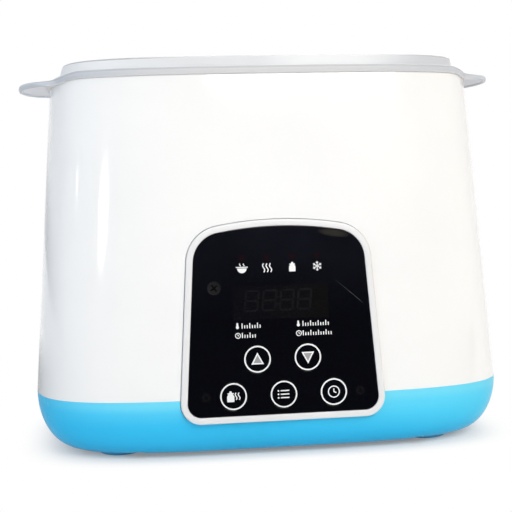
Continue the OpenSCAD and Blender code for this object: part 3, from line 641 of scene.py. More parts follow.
class Finish:
    """A new material and the sockets of its shader."""

    def __init__(self, name, **fixed):
        self.material = bpy.data.materials.new(name)
        self.material.use_nodes = True
        self.tree = self.material.node_tree
        self.shader = self.tree.nodes["Principled BSDF"]
        self.surface = Sock(self.tree, self.shader.outputs[0])
        self.place = self.surface.node("ShaderNodeTexCoord", output="Object")
        for key, value in fixed.items():
            self.shader.inputs[key.replace("_", " ")].default_value = value

    def feed(self, **links):
        """Link what varies to the shader: Base_Color, Roughness and so on."""
        for key, sock in links.items():
            self.tree.links.new(sock.out, self.shader.inputs[key.replace("_", " ")])

    def relief(self, height, depth):
        """Bump from a height, depth in millimetres."""
        values = {"Strength": 1.0, "Distance": depth * MM, "Height": height}
        self.feed(Normal=self.place.node("ShaderNodeBump", inputs=values))


def tinted(tone, share):
    """A colour made lighter or darker by a share."""
    return tuple(min(1.0, c * (1 + share)) for c in tone)


def away_from(x, y, at):
    """How far two coordinates are from a point."""
    return ((x - at[0]) ** 2.0 + (y - at[1]) ** 2.0) ** 0.5


def moulded(name, tone, rough, spread=0.06, vary=0.03, grain=1600.0, depth=0.01, rise=None, **fixed):
    """Moulded plastic or rubber: slight flow tones, uneven gloss and a fine skin.

    A rise paints light into the colour: a lighter tone that comes in upward and to the right, and a painted
    highlight, a paler band below an upper edge.
    """
    look = Finish(name, **fixed)
    flow, skin = look.place.noise(16.0, 3.0), look.place.noise(grain, 2.0)
    smear = look.place.noise(55.0, 4.0, 0.6)
    base = flow.ease(0.3, 0.7).blend(tinted(tone, -vary), tinted(tone, vary))
    if rise:
        upper, low, high, edge, edge_z = rise
        x, _, z = look.place.axes()
        # Painted light: the upper tone comes in upward and to the right
        base = (z + 0.12 * x).ease(low, high).blend(base, upper)
        # Painted highlight: a paler band just below the upper edge, faded out at the far left
        near = 0.65 * z.ease(edge_z - 6.5, edge_z - 1.5) + 0.35 * z.ease(edge_z - 14.0, edge_z - 4.0)
        base = (near * x.ease(-150.0, -60.0)).blend(base, edge)
    look.feed(Base_Color=base, Roughness=rough + spread * (smear - 0.5) * 2)
    look.relief(skin, depth)
    return look


def metal(name, tone, rough, turned_about=None):
    """Brushed steel: fine lines across, or around an upright axis."""
    look = Finish(name, Metallic=1.0)
    x, y, z = look.place.axes()
    lines = away_from(x, y, turned_about).lines(5.0, 4.0) if turned_about else (x + z * 0.4).lines(6.0, 4.0)
    brushed = lines.ease(0.25, 0.75).blend(tinted(tone, -0.12), tinted(tone, 0.08))
    look.feed(Base_Color=brushed, Roughness=rough + 0.12 * lines)
    look.relief(lines, 0.012)
    return look


def looks(context):
    """Every finish of the object, made once."""
    if bpy.data.materials.get("white shell plastic"):
        return SimpleNamespace(**{m["look"]: m for m in bpy.data.materials if m.get("look")})
    c, s = context.scene.warmer_colours, sizes(context)
    # Painted light on the blue base: lighter upward and to the right, with a painted highlight below the seam
    blue_painted_light = (tuple(c.blue_painted_lit_top), 12.0, 31.0, tuple(c.blue_painted_edge_highlight), s.seam_z)
    made = {
        "white": moulded("white shell plastic", c.white, 0.11, 0.03, 0.012, 1200.0, 0.004, Coat_Weight=0.4,
                         Coat_Roughness=0.02),
        "tank": moulded("tank plastic", (0.80, 0.80, 0.79), 0.3, 0.06, 0.02),
        "blue": moulded("blue base plastic", c.blue, 0.26, 0.05, 0.03, 1200.0, 0.006, blue_painted_light,
                        Specular_IOR_Level=0.05),
        "blue_rubber": moulded("blue foot rubber", tinted(c.blue, -0.08), 0.42, 0.1, 0.05, 2200.0, 0.03),
        "grey_rubber": moulded("grey gland rubber", (0.045, 0.046, 0.05), 0.6, 0.1, 0.12, 2200.0, 0.04),
        "bezel": moulded("pale bezel plastic", c.bezel, 0.32, 0.06, 0.02, 2600.0, 0.012),
        "printed": moulded("white print", c.printed, 0.45, 0.05, 0.04, 3000.0, 0.006),
        "grey_print": moulded("grey print", (0.30, 0.30, 0.31), 0.45, 0.05, 0.06, 3000.0, 0.006),
        "segment": moulded("unlit segment", (0.0056, 0.0058, 0.0074), 0.2, 0.05, 0.05,
                           Specular_IOR_Level=0.4),
        "dim_screw": moulded("dim screw", (0.013, 0.013, 0.014), 0.2, 0.08, 0.5, 500.0,
                             Specular_IOR_Level=0.4),
        "faint_screw": moulded("faint screw", (0.004, 0.004, 0.0048), 0.2, 0.08, 0.5, 500.0,
                               Specular_IOR_Level=0.4),
        "board": moulded("circuit board", (0.012, 0.11, 0.045), 0.4, 0.08, 0.25, 700.0, 0.05),
        "component": moulded("black component", (0.02, 0.02, 0.022), 0.45, 0.1, 0.1),
        "lamp": moulded("red lamp lens", (0.42, 0.03, 0.02), 0.15, 0.05, 0.1, Transmission_Weight=0.3),
        "silicone": moulded("red silicone", (0.5, 0.09, 0.05), 0.5, 0.1, 0.08),
        "ceramic": moulded("tan moulding", (0.52, 0.4, 0.26), 0.55, 0.1, 0.1),
        "relay": moulded("blue relay case", (0.02, 0.07, 0.32), 0.3, 0.08, 0.05),
        "cable": moulded("grey cable", (0.4, 0.4, 0.42), 0.5, 0.08, 0.06),
        "steel": metal("bright steel", (0.62, 0.62, 0.63), 0.24),
        "heater_steel": metal("turned heater steel", (0.66, 0.66, 0.67), 0.2, (0.0, 0.0)),
        "winding": copper_winding(),
        "plate": smoked_plate(s, c),
        "key": moulded("smoked key", c.plate, 0.09, 0.04, 0.1, 1800.0, 0.004, Specular_IOR_Level=0.4),
        "basket": frosted(s, c),
    }
    for key, look in made.items():
        look.material["look"] = key
    return SimpleNamespace(**{key: look.material for key, look in made.items()})


def copper_winding():
    """Taped winding with turns showing across it."""
    look = Finish("taped winding")
    turns = look.place.axes()[2].lines(3.0, 2.0)
    tone = turns.ease(0.35, 0.65).blend((0.16, 0.07, 0.015), (0.36, 0.19, 0.05))
    look.feed(Base_Color=tone, Roughness=0.35 + 0.25 * turns)
    look.relief(turns, 0.15)
    return look


def smoked_plate(s, c):
    """Polished smoked plate: display and lamps show dimly through it, with a painted sheen towards the top, a
    painted glare and one scratch.
    """
    look = Finish("smoked plate", Specular_IOR_Level=0.4)
    x, y, z = look.place.axes()
    v = (y + s.body_d / 2) * math.sin(s.lean) + (z - s.seam_z) * math.cos(s.lean)
    # Painted sheen: lighter and bluer towards the top of the plate, in patches
    painted_top_sheen = v.ease(34.0, 84.0) * (0.5 + 0.5 * look.place.noise(30.0, 3.0).ease(0.3, 0.7))
    tone = painted_top_sheen.blend(tuple(c.plate), (0.0058, 0.0064, 0.0105))

    # Display and lamps behind the plate
    across, upward = 23.4 - abs(x), 8.2 - abs(v - (s.bezel_top - 40.2))
    display = x.ease(-24.0, 24.0).blend((0.0034, 0.0034, 0.0056), (0.0044, 0.0040, 0.0044))
    tone = (across.ease(-0.3, 0.3) * upward.ease(-0.3, 0.3)).blend(tone, display)
    for lamp_x in LAMP_X:
        away = away_from(x, v, (lamp_x, s.bezel_top - 18.3))
        tone = ((1.0 - away.ease(0.9, 1.9)) * 0.9).blend(tone, (0.012, 0.0042, 0.0050))

    # Painted glare, a painted reflection at the upper right, and a scratch below it
    tilt = (x - 27.0) * 0.15 + v - 78.6
    painted_glare = 1.0 - (((x - 27.0) / 9.0) ** 2.0 + (tilt / 2.2) ** 2.0).ease(0.0, 1.0)
    tone = (painted_glare * 0.8).blend(tone, (0.034, 0.031, 0.026))
    start, end = Vector((26.3, 56.4)), Vector((42.2, 43.2))
    along = (end - start).normalized()
    run = (x - start.x) * along.x + (v - start.y) * along.y
    off = abs((x - start.x) * -along.y + (v - start.y) * along.x + 0.6 * (run / 20.0) ** 2.0)
    line = (1.0 - off.ease(0.1, 0.32)) * run.ease(-3.0, 13.0) * (1.0 - run.ease(16.5, 20.0))
    tone = (line * look.place.noise(420.0).ease(0.25, 0.6)).blend(tone, (0.03, 0.031, 0.034))

    smudge = look.place.noise(38.0, 4.0, 0.65).ease(0.35, 0.75)
    look.feed(Base_Color=tone, Roughness=0.05 + 0.05 * smudge + line * 0.25)
    look.relief(look.place.noise(300.0), 0.004)
    return look


def frosted(s, c):
    """Frosted plastic: denser in the flange and the ears' edges, lighter in the collar, walls and ears, with
    painted shade on collar and flange and painted light along the flange's lower edge and under the left ear.
    """
    look = Finish("frosted basket plastic", Transmission_Weight=0.15, IOR=1.49)
    x, y, z = look.place.axes()
    up, aside = z - s.rim_z, abs(x)
    past = aside - s.rim_w / 2
    cloud = look.place.noise(24.0, 4.0)

    # Collar and walls with painted shade: lightest at the left end, greyer left of the middle, lighter just
    # right of it and greyest towards the right end, with a painted shade line along the collar's rounded top
    # near both ends
    shade = 0.58 * x.ease(-100.0, -25.0) - 0.32 * x.ease(-8.0, 14.0) + 0.48 * x.ease(35.0, 78.0)
    shade = shade + (cloud - 0.5) * 0.06
    painted_crest_shade = (up - s.flange_t - s.collar_h + 0.95).ease(0.0, 0.35)
    painted_crest_shade = painted_crest_shade * (1.0 - x.ease(-75.0, -30.0) + 0.8 * x.ease(62.0, 88.0))
    pale = shade.blend(tinted(c.collar, 0.05), (0.6, 0.613, 0.65))
    pale = (0.85 * painted_crest_shade).blend(pale, (0.42, 0.425, 0.44))

    # Flange, with a painted shade line below its upper edge and a painted light band along its lower edge
    sink = aside.ease(s.dip_start, s.rim_w / 2)
    edge = up + sink * s.flange_dip - s.flange_t
    lines = (edge + 1.3).ease(0.0, 0.45) * (1.0 - (edge + 0.25).ease(0.0, 0.2))
    under = 1.0 - (up + s.skirt + (s.ear_drop - s.skirt) * sink).ease(0.3, 1.0)
    dense = aside.ease(20.0, 112.0).blend(tuple(c.basket), (0.645, 0.68, 0.735))
    # Painted shade: the line below the flange's upper edge
    dense = (lines * 0.8).blend(dense, tinted(c.basket, -0.3))
    # Painted light: the band along the flange's lower edge
    dense = (under * (1.0 - past.ease(0.0, 1.5))).blend(dense, tinted(c.basket, 0.12))

    # Thin underside of the ears, within their lip: painted light, paler and bluer, mostly on the left ear and
    # fading out towards the right
    out = ((past - 1.4) / s.ear_reach).most(0.0)
    lip = (out ** 2.0 + (y / (s.ear_span / 2)) ** 2.0).ease(0.72, 0.84) * (1.0 - y.ease(-4.0, 10.0))
    thin = (1.0 - lip) * past.ease(1.0, 2.5) * (1.0 - (up + 0.9).ease(-0.3, 0.3))
    thin = thin * (1.0 - 0.9 * x.ease(0.0, 100.0))
    dense = thin.blend(dense, (0.885, 0.925, 1.0))

    thick = (up + s.ear_drop).ease(-0.6, -0.2) * (1.0 - (up - s.flange_t).ease(-0.1, 0.4))
    look.feed(Base_Color=thick.blend(pale, dense), Roughness=0.34 + 0.14 * cloud)
    look.relief(look.place.noise(1900.0), 0.03)
    return look


# Operators, one for each piece or group of like pieces

def panel_cutter(s):
    """Block of the opening that the bezel sits in."""
    rings = [raised(panel_outline(s, -0.25), depth) for depth in (-18.0, 24.0)]
    return make_object("panel_cutter", [on_panel(s, loft(rings))])


class WARMER_OT_housing(bpy.types.Operator):
    """Glossy white housing with its rim, ledge and screw columns"""
    bl_idname = "warmer.housing"
    bl_label = "Housing"

    def execute(self, context):
        s, look = sizes(context), looks(context)
        seat, ledge, groove = s.tank_seat, s.rim_z - 4.7, s.groove
        rings = [body_ring(s, s.seam_z + h, inset) for h, inset in (
            (0, groove), (0.4 * groove, 0.4 * groove), (groove, 0))]
        rings += [body_ring(s, z, 0) for z in np.linspace(s.seam_z + 2, s.rim_z - s.rim_edge, 26)]
        rings += [body_ring(s, s.rim_z - s.rim_edge * (1 - math.sin(turn)), s.rim_edge * (1 - math.cos(turn)))
                  for turn in quarter(6)[1:]]
        rings += [body_ring(s, z, inset) for z, inset in (
            (s.rim_z, 2.6), (s.rim_z - 0.15, 2.9), (s.rim_z - 0.5, 3), (seat, 3), (seat, 7), (ledge, 7),
            (ledge - 4.4, s.wall))]
        rings += [body_ring(s, z, s.wall) for z in np.linspace(ledge - 10, s.seam_z, 12)]
        shell = combine(make_object("housing_shell", [loft(rings, closed=True)]), panel_cutter(s))
        gather(shell, make_object("columns", self.columns(s)))
        settle(shell, "housing", "white_shell", look.white, "main_housing")
        return {"FINISHED"}

    def columns(self, s):
        """Columns for the four screws, each with a rib to the wall."""
        low, top, wall_y = s.seam_z, s.seam_z + 18, 76.0
        profile = [(1.6, low), (4.5, low), (4.5, top - 0.5), (4, top), (1.6, top)]
        parts = []
        for side, end in CORNERS:
            x, y = side * s.screw[0], end * s.screw[1]
            parts.append(turned(profile, (x, y), 40, True))
            near, far = sorted((y + end * 3, end * wall_y))
            parts.append(block((x - 2.25, near, low + 5), (x + 2.25, far, top - 1)))
        return parts


class WARMER_OT_base(bpy.types.Operator):
    """Blue base with its rounded edge, vents, screw recesses and the gland's seat"""
    bl_idname = "warmer.base"
    bl_label = "Base"

    def execute(self, context):
        s, look = sizes(context), looks(context)
        top, groove, tongue_out, tongue_in = s.seam_z, s.groove, s.wall + 0.7, s.wall + 2.3
        outer, inner = base_edge(s, 0), base_edge(s, s.wall)
        rings = floor_rings(outer[0]) + outer
        rings += [base_ring(s, top - drop, inset) for drop, inset in (
            (groove, 0), (0.4 * groove, 0.4 * groove), (0, groove), (0, tongue_out), (-4, tongue_out),
            (-4, tongue_in), (3.2, tongue_in), (5.5, s.wall))]
        rings += [r for r in inner[::-1] if r[0, 2] < top - 5.6] + floor_rings(inner[0])[::-1]
        pan = make_object("base_shell", [loft(rings)])
        for cutter in self.cutters(s):
            combine(pan, cutter)
        gather(pan, make_object("posts", self.posts(s)))
        settle(pan, "housing", "blue_base", look.blue, "base_pan")
        return {"FINISHED"}

    def cutters(self, s):
        """Openings for the panel, the gland, seven vents, the screws and the feet."""
        panel = panel_cutter(s)
        seat = turned([(4.9, 60), (4.9, GLAND_SEAT), (6.25, GLAND_SEAT), (6.25, 90)])
        gland = make_object("gland_cutter", [along_gland(seat)])
        stadium = np.vstack([arc((0, 13.8), 1.2, 0, 180, 8), arc((0, -13.8), 1.2, 180, 360, 8)])
        vents = repeat("vent_cutter", [slab([stadium], 0, 8)], 7, (-24, 8, 0), (8, 0, 0))
        holes = []
        for side, end in CORNERS:
            holes.append(turned([(3.25, 0), (3.25, 16)], (side * s.screw[0], end * s.screw[1]), 40))
            holes.append(turned([(3.1, 0), (3.1, 8)], (side * s.foot_x, end * s.foot_y), 40))
        return [panel, gland, vents, make_object("hole_cutter", holes)]

    def posts(self, s):
        """Posts on the floor for the housing's screws and for the power board."""
        floor, top = s.foot_lift + s.wall, s.seam_z
        screw = [(3.25, floor - 0.2), (5, floor - 0.2), (5, top - 0.4), (4.6, top), (1.7, top),
                 (1.7, top - 14), (3.25, top - 14)]
        board = [(1.6, floor), (4, floor - 1), (4, floor + 8), (1.6, floor + 8)]
        parts = []
        for side, end in CORNERS:
            parts.append(turned(screw, (side * s.screw[0], end * s.screw[1]), 40, True))
            parts.append(turned(board, (side * 55, 8 + end * 27), 40, True))
        return parts


class WARMER_OT_feet(bpy.types.Operator):
    """Four rubber feet with their stems"""
    bl_idname = "warmer.feet"
    bl_label = "Feet"

    def execute(self, context):
        s, look = sizes(context), looks(context)
        r, h = s.foot_d / 2, s.foot_lift
        profile = [(r * 0.5, 0.25), (r * 0.56, 0), (r - 2.9, 0), (r - 2.2, 0.12), (r - 1.5, 0.5),
                   (r - 0.9, 1.1), (r - 0.3, h - 0.35), (r, h - 0.02), (r - 0.4, h), (3, h), (3, h + s.wall),
                   (2.6, h + s.wall + 1)]
        for node, (side, end) in FEET.items():
            foot = make_object(node + "_rubber", [turned(profile, (side * s.foot_x, end * s.foot_y), 72)])
            settle(foot, "housing", "blue_rubber", look.blue_rubber, node)
        return {"FINISHED"}


class WARMER_OT_gland(bpy.types.Operator):
    """Rubber gland for the mains cord at the back"""
    bl_idname = "warmer.gland"
    bl_label = "Cord gland"

    def execute(self, context):
        look = looks(context)
        start, seat, end = 71.21, GLAND_SEAT, 82.17
        profile = [(3.3, start), (5.6, start), (6, start + 0.4), (6, start + 3), (4.8, start + 3),
                   (4.8, seat), (6, seat), (6, seat + 1.6), (5.7, seat + 2), (5.5, end - 1),
                   (5.1, end - 0.25), (4.6, end), (3.8, end), (3.4, end - 0.35), (3.3, end - 1)]
        gland = make_object("cord_gland_rubber", [along_gland(turned(profile, closed=True))])
        settle(gland, "housing", "grey_rubber", look.grey_rubber, "cord_gland")
        return {"FINISHED"}


class WARMER_OT_bezel(bpy.types.Operator):
    """Pale frame with an arched top and the tray behind it"""
    bl_idname = "warmer.bezel"
    bl_label = "Bezel"

    def execute(self, context):
        s, look = sizes(context), looks(context)
        p, w, back = s.bezel_proud, s.frame_w, s.window_back
        steps = [(0, -14.3), (0, -6), (0, p - 0.75), (0.06, p - 0.5), (0.22, p - 0.25), (0.48, p - 0.07),
                 (0.8, p), (w - 0.35, p), (w - 0.15, p - 0.04), (w - 0.04, p - 0.14), (w, p - 0.32),
                 (w, back), (w + 1.5, back), (w + 1.5, back - 1.5), (2.2, back - 1.5), (2.2, -12.9)]
        rings = [raised(panel_outline(s, inset), depth) for inset, depth in steps]
        bezel = make_object("panel_frame", [on_panel(s, loft(rings))])
        settle(bezel, "housing", "pale_bezel", look.bezel, "panel_bezel")
        return {"FINISHED"}


class WARMER_OT_window(bpy.types.Operator):
    """Smoked plate with its key holes, display digits, dim screws and printed signs"""
    bl_idname = "warmer.window"
    bl_label = "Window"

    def execute(self, context):
        s, look = sizes(context), looks(context)
        holes = [circle(s.key_d / 2 + 0.15, at) for at in s.keys.values()]
        plate = slab([panel_outline(s, s.frame_w + 0.125), *holes], s.window_back, s.window_face, 0.22)
        window = make_object("window_plate", [on_panel(s, plate)])
        settle(window, "housing", "smoked_window", look.plate, "panel_window")
        self.add_digits(s, look.segment)
        self.add_screws(s, look)
        signs = make_object("panel_signs", [on_face(s, loops, s.window_face) for loops in panel_signs(s)])
        settle(signs, "housing", "white_shell", look.printed)
        return {"FINISHED"}

    def add_screws(self, s, look):
        """Three screw heads that show through the plate, one dimly and two faintly."""
        a, b, turn = 0.45, 2, math.radians(38)
        cross = np.array([(a, a), (a, b), (-a, b), (-a, a), (-b, a), (-b, -a), (-a, -a), (-a, -b), (a, -b),
                          (a, -a), (b, -a), (b, a)])
        cross = cross @ np.array([(math.cos(turn), math.sin(turn)), (-math.sin(turn), math.cos(turn))])
        for name, tone, scale, places in (
                ("dim_screw", look.dim_screw, 1.0, [(-32.3, s.bezel_top - 32.5)]),
                ("faint_screws", look.faint_screw, 0.65, [(-37.8, s.key_row_v), (37.8, s.key_row_v)])):
            heads = [[circle(3.3 * scale, at, 40), cross * scale + at] for at in places]
            screws = make_object(name, [on_face(s, loops, s.window_face, DIM_T) for loops in heads])
            settle(screws, "housing", "smoked_window", tone)

    def add_digits(self, s, tone):
        """Four unlit digits and a colon that show dimly in the display."""
        w, h, point, cut = 6.2, 9.6, 0.475, 0.14
        low, high = s.window_face - PRINT_SINK, s.window_face + DIM_T
        flat = [(0, h / 2), (0, 0), (0, -h / 2)]
        upright = [(-w / 2, h / 4), (w / 2, h / 4), (-w / 2, -h / 4), (w / 2, -h / 4)]
        bars = []
        for places, long, axes in ((flat, w, (0, 1)), (upright, h / 2, (1, 0))):
            half = long / 2 - cut
            bar = np.array([(-half, 0), (point - half, -point), (half - point, -point), (half, 0),
                            (half - point, point), (point - half, point)])
            for place in places:
                leaning = bar[:, axes] + place
                leaning[:, 0] += leaning[:, 1] * 0.12
                bars.append(slab([leaning], low, high))
        digits = repeat("display_digits", bars, 4, (-14.2, s.bezel_top - 39.3, 0), (8.6, 0, 0), look=tone)
        dot = slab([circle(0.5, steps=20)], low, high)
        colon = repeat("display_colon", [dot], 2, (-1.5, s.bezel_top - 41.1, 0), (0.35, 3.4, 0), look=tone)
        gather(digits, colon)
        points = np.array([v.co for v in digits.data.vertices]) / MM
        laid, _ = on_panel(s, (points, []))
        digits.data.vertices.foreach_set("co", (laid * MM).ravel())
        settle(digits, "housing", "smoked_window", tone)


def bottle_sign(x, y, size):
    """Loops of a small bottle standing on a point."""
    shape = np.array([(-0.3, 0), (0.3, 0), (0.34, 0.06), (0.34, 0.52), (0.24, 0.66), (0.24, 0.74),
                      (0.3, 0.74), (0.3, 0.82), (0.12, 0.84), (0.09, 1.0), (-0.09, 1.0), (-0.12, 0.84),
                      (-0.3, 0.82), (-0.3, 0.74), (-0.24, 0.74), (-0.24, 0.66), (-0.34, 0.52),
                      (-0.34, 0.06)])
    return [shape * size + (x, y)]


def wave(x, y, height, swing, line):
    """Loops of one rising wave of steam."""
    rise = np.linspace(0, 1, 14)
    return stroke(np.stack([x + swing * np.sin(rise * 2 * np.pi), y + rise * height], -1), line)


def clock_sign(x, y, radius, line):
    """Loops of a small clock: a ring and two hands."""
    hands = np.array([(x, y + radius * 0.55), (x, y), (x + radius * 0.45, y - radius * 0.2)])
    return [stroke(circle(radius, (x, y), 32), line, closed=True), stroke(hands, line)]


def scale_marks(x0, x1, y, line):
    """Loops of a row of scale marks, every third one long."""
    height, pitch = 2.5, 1.25
    marks = []
    for i, x in enumerate(np.arange(x0, x1 + 0.01, pitch)):
        tall = height if i % 3 == 0 else height * 0.62
        marks.append([oblong(x - line / 2, y, x + line / 2, y + tall)])
    return marks


def bowl_sign(x, y, line):
    """Loops of a bowl with steam above it."""
    bowl, brim = arc((x, y + 2.2), 2.3, 180, 360, 16), oblong(x - 2.9, y + 2.5, x + 2.9, y + 2.95)
    return [[bowl], [brim]] + [wave(x + d, y + 3.2, 1.3, 0.22, line * 0.8) for d in (-0.9, 0.9)]


def heading(degrees):
    """Step of length 1 in a direction."""
    return np.array([math.cos(math.radians(degrees)), math.sin(math.radians(degrees))])


def crystal_sign(x, y, line):
    """Loops of a snow crystal: three crossing arms with two branches at each end."""
    middle = np.array([x, y])
    loops = []
    for turn in (30, 90, 150):
        arm = 2.3 * heading(turn)
        loops.append(stroke([middle - arm, middle, middle + arm], line * 0.85))
        for way in (-1, 1):
            root = middle + way * arm * 0.55
            for tilt in (-40, 40):
                loops.append(stroke([root, root + way * 0.85 * heading(turn + tilt)], line * 0.75))
    return loops


def thermometer_sign(x, y):
    """Loops of a small thermometer."""
    bulb = arc((x + 0.6, y + 0.6), 0.75, -230, 50, 14)
    return [np.vstack([bulb, [(x + 0.98, y + 2.7), (x + 0.22, y + 2.7)]])]


def panel_signs(s):
    """Loops of the signs on the plate: four under the lamps, two rows under each half of the display."""
    line, v = s.print_line, s.bezel_top - 25.6
    signs = bowl_sign(LAMP_X[0], v, line)
    signs += [wave(LAMP_X[1] + d, v, 4.2, 0.5, line) for d in (-1.7, 0, 1.7)]
    signs.append(bottle_sign(LAMP_X[2], v - 0.1, 4.6))
    signs += crystal_sign(LAMP_X[3], v + 2.1, line)
    upper, lower = s.bezel_top - 52.4, s.bezel_top - 57.0
    for left, upper_end, lower_end in ((-22.2, -9.9, -12.9), (7.6, 23.6, 25.2)):
        signs.append(thermometer_sign(left, upper))
        signs += scale_marks(left + 2.9, upper_end, upper, line)
        signs += clock_sign(left + 0.75, lower + 1.2, 1.2, line * 0.8)
        signs += scale_marks(left + 2.9, lower_end, lower, line)
    return signs


class WARMER_OT_keys(bpy.types.Operator):
    """Five round keys with printed rings and signs"""
    bl_idname = "warmer.keys"
    bl_label = "Keys"

    def execute(self, context):
        s, look = sizes(context), looks(context)
        r, face = s.key_d / 2, s.key_face
        flange = s.window_back - 0.2
        profile = [(r / 4 - 0.2, flange - 2.6), (r / 4, flange - 2.4), (r / 4, flange - 1),
                   (r + 0.7, flange - 1), (r + 0.7, flange), (r, flange), (r, face - 0.2),
                   (r - 0.05, face - 0.08), (r - 0.16, face - 0.02), (r - 0.35, face), (r - 0.45, face),
                   (r * 0.3, face)]
        for node, at in s.keys.items():
            body = node + "_body"
            cap = make_object(node + "_cap", [on_panel(s, turned(profile, at, 72))])
            settle(cap, body, "black_key", look.key, node)
            white, grey = self.signs(s, node, *at)
            ring_loops = [circle(r - 0.2, at, 72), circle(r - 0.2 - s.ring_w, at, 72)]
            print_parts = [on_face(s, loops, face) for loops in [ring_loops, *white]]
            settle(make_object(node + "_print", print_parts), body, "white_shell", look.printed)
            if grey:
                arrow_parts = [on_face(s, loops, face, PRINT_T - 0.002) for loops in grey]
                settle(make_object(node + "_arrow", arrow_parts), body, "pale_bezel", look.grey_print)
        return {"FINISHED"}

    def signs(self, s, node, x, v):
        """White loops and grey loops of one key's sign."""
        line = s.print_line
        if node in ("key_up", "key_down"):
            way = 1 if node == "key_up" else -1
            arrow = turn_way(np.array([(-3.1, -2.75 * way), (3.1, -2.75 * way), (0, 3.0 * way)]), False)
            arrow = arrow + (x, v + 0.25 * way)
            inner = drawn_in_sharp(arrow, 0.62)
            return [[arrow, inner]], [[inner]]
        if node == "key_warm":
            steam = [wave(x + d, v - 1.6, 3.4, 0.4, line) for d in (1.2, 2.7)]
            return [bottle_sign(x - 1.4, v - 2.6, 5.2), *steam], []
        if node == "key_function":
            rows = (v, v + 1.7, v - 1.7)
            bars = [[oblong(x - 1.6, y - 0.28, x + 2.6, y + 0.28)] for y in rows]
            return bars + [[circle(0.42, (x - 2.7, y), 20)] for y in rows], []
        return clock_sign(x, v, 2.7, line * 1.05), []


def drawn_in_sharp(loop, distance):
    """A triangle moved inward with sharp corners."""
    inner = np.zeros_like(loop)
    for i in range(3):
        sides = [loop[(i + 1) % 3] - loop[i], loop[i - 1] - loop[i]]
        to_next, to_last = (side / np.linalg.norm(side) for side in sides)
        half = math.acos(np.dot(to_next, to_last)) / 2
        middle = (to_next + to_last) / np.linalg.norm(to_next + to_last)
        inner[i] = loop[i] + middle * distance / math.sin(half)
    return inner


class WARMER_OT_tank(bpy.types.Operator):
    """Water tank with its flange and the heater's hole"""
    bl_idname = "warmer.tank"
    bl_label = "Water tank"

    def execute(self, context):
        s, look = sizes(context), looks(context)
        wall, floor, seat = s.tank_wall, s.tank_floor, s.tank_seat
        top, inner_in = seat + 2, s.tank_in + wall
        outer = liner_edge(s, 6 + wall, floor - wall, s.tank_in)
        inner = liner_edge(s, 6, floor, inner_in)
        rings = floor_rings(outer[0]) + outer
        rings += [liner_ring(s, z, s.tank_in) for z in np.linspace(floor + 16, seat, 8)]
        rings += [body_ring(s, z, inset) for z, inset in (
            (seat, 3.25), (top - 0.4, 3.25), (top - 0.1, 3.4), (top, 3.8))]
        rings += [liner_ring(s, z, inset) for z, inset in (
            (top, 8.4), (top - 0.15, 8.8), (top - 0.6, inner_in))]
        rings += [liner_ring(s, z, inner_in) for z in np.linspace(top - 6, floor + 14, 8)]
        rings += inner[::-1] + floor_rings(inner[0])[::-1]
        tank = make_object("tank_liner", [loft(rings)])
        heater = turned([(35, floor - 6), (35, floor + 6)], steps=96)
        combine(tank, make_object("heater_cutter", [heater]))
        screw = turned([(3.25, floor - 6), (3.25, floor + 6)], steps=32)
        combine(tank, repeat("boss_cutter", [screw], 4, radius=40.5))
        settle(tank, "housing", "white_shell", look.tank, "water_tank")
        return {"FINISHED"}


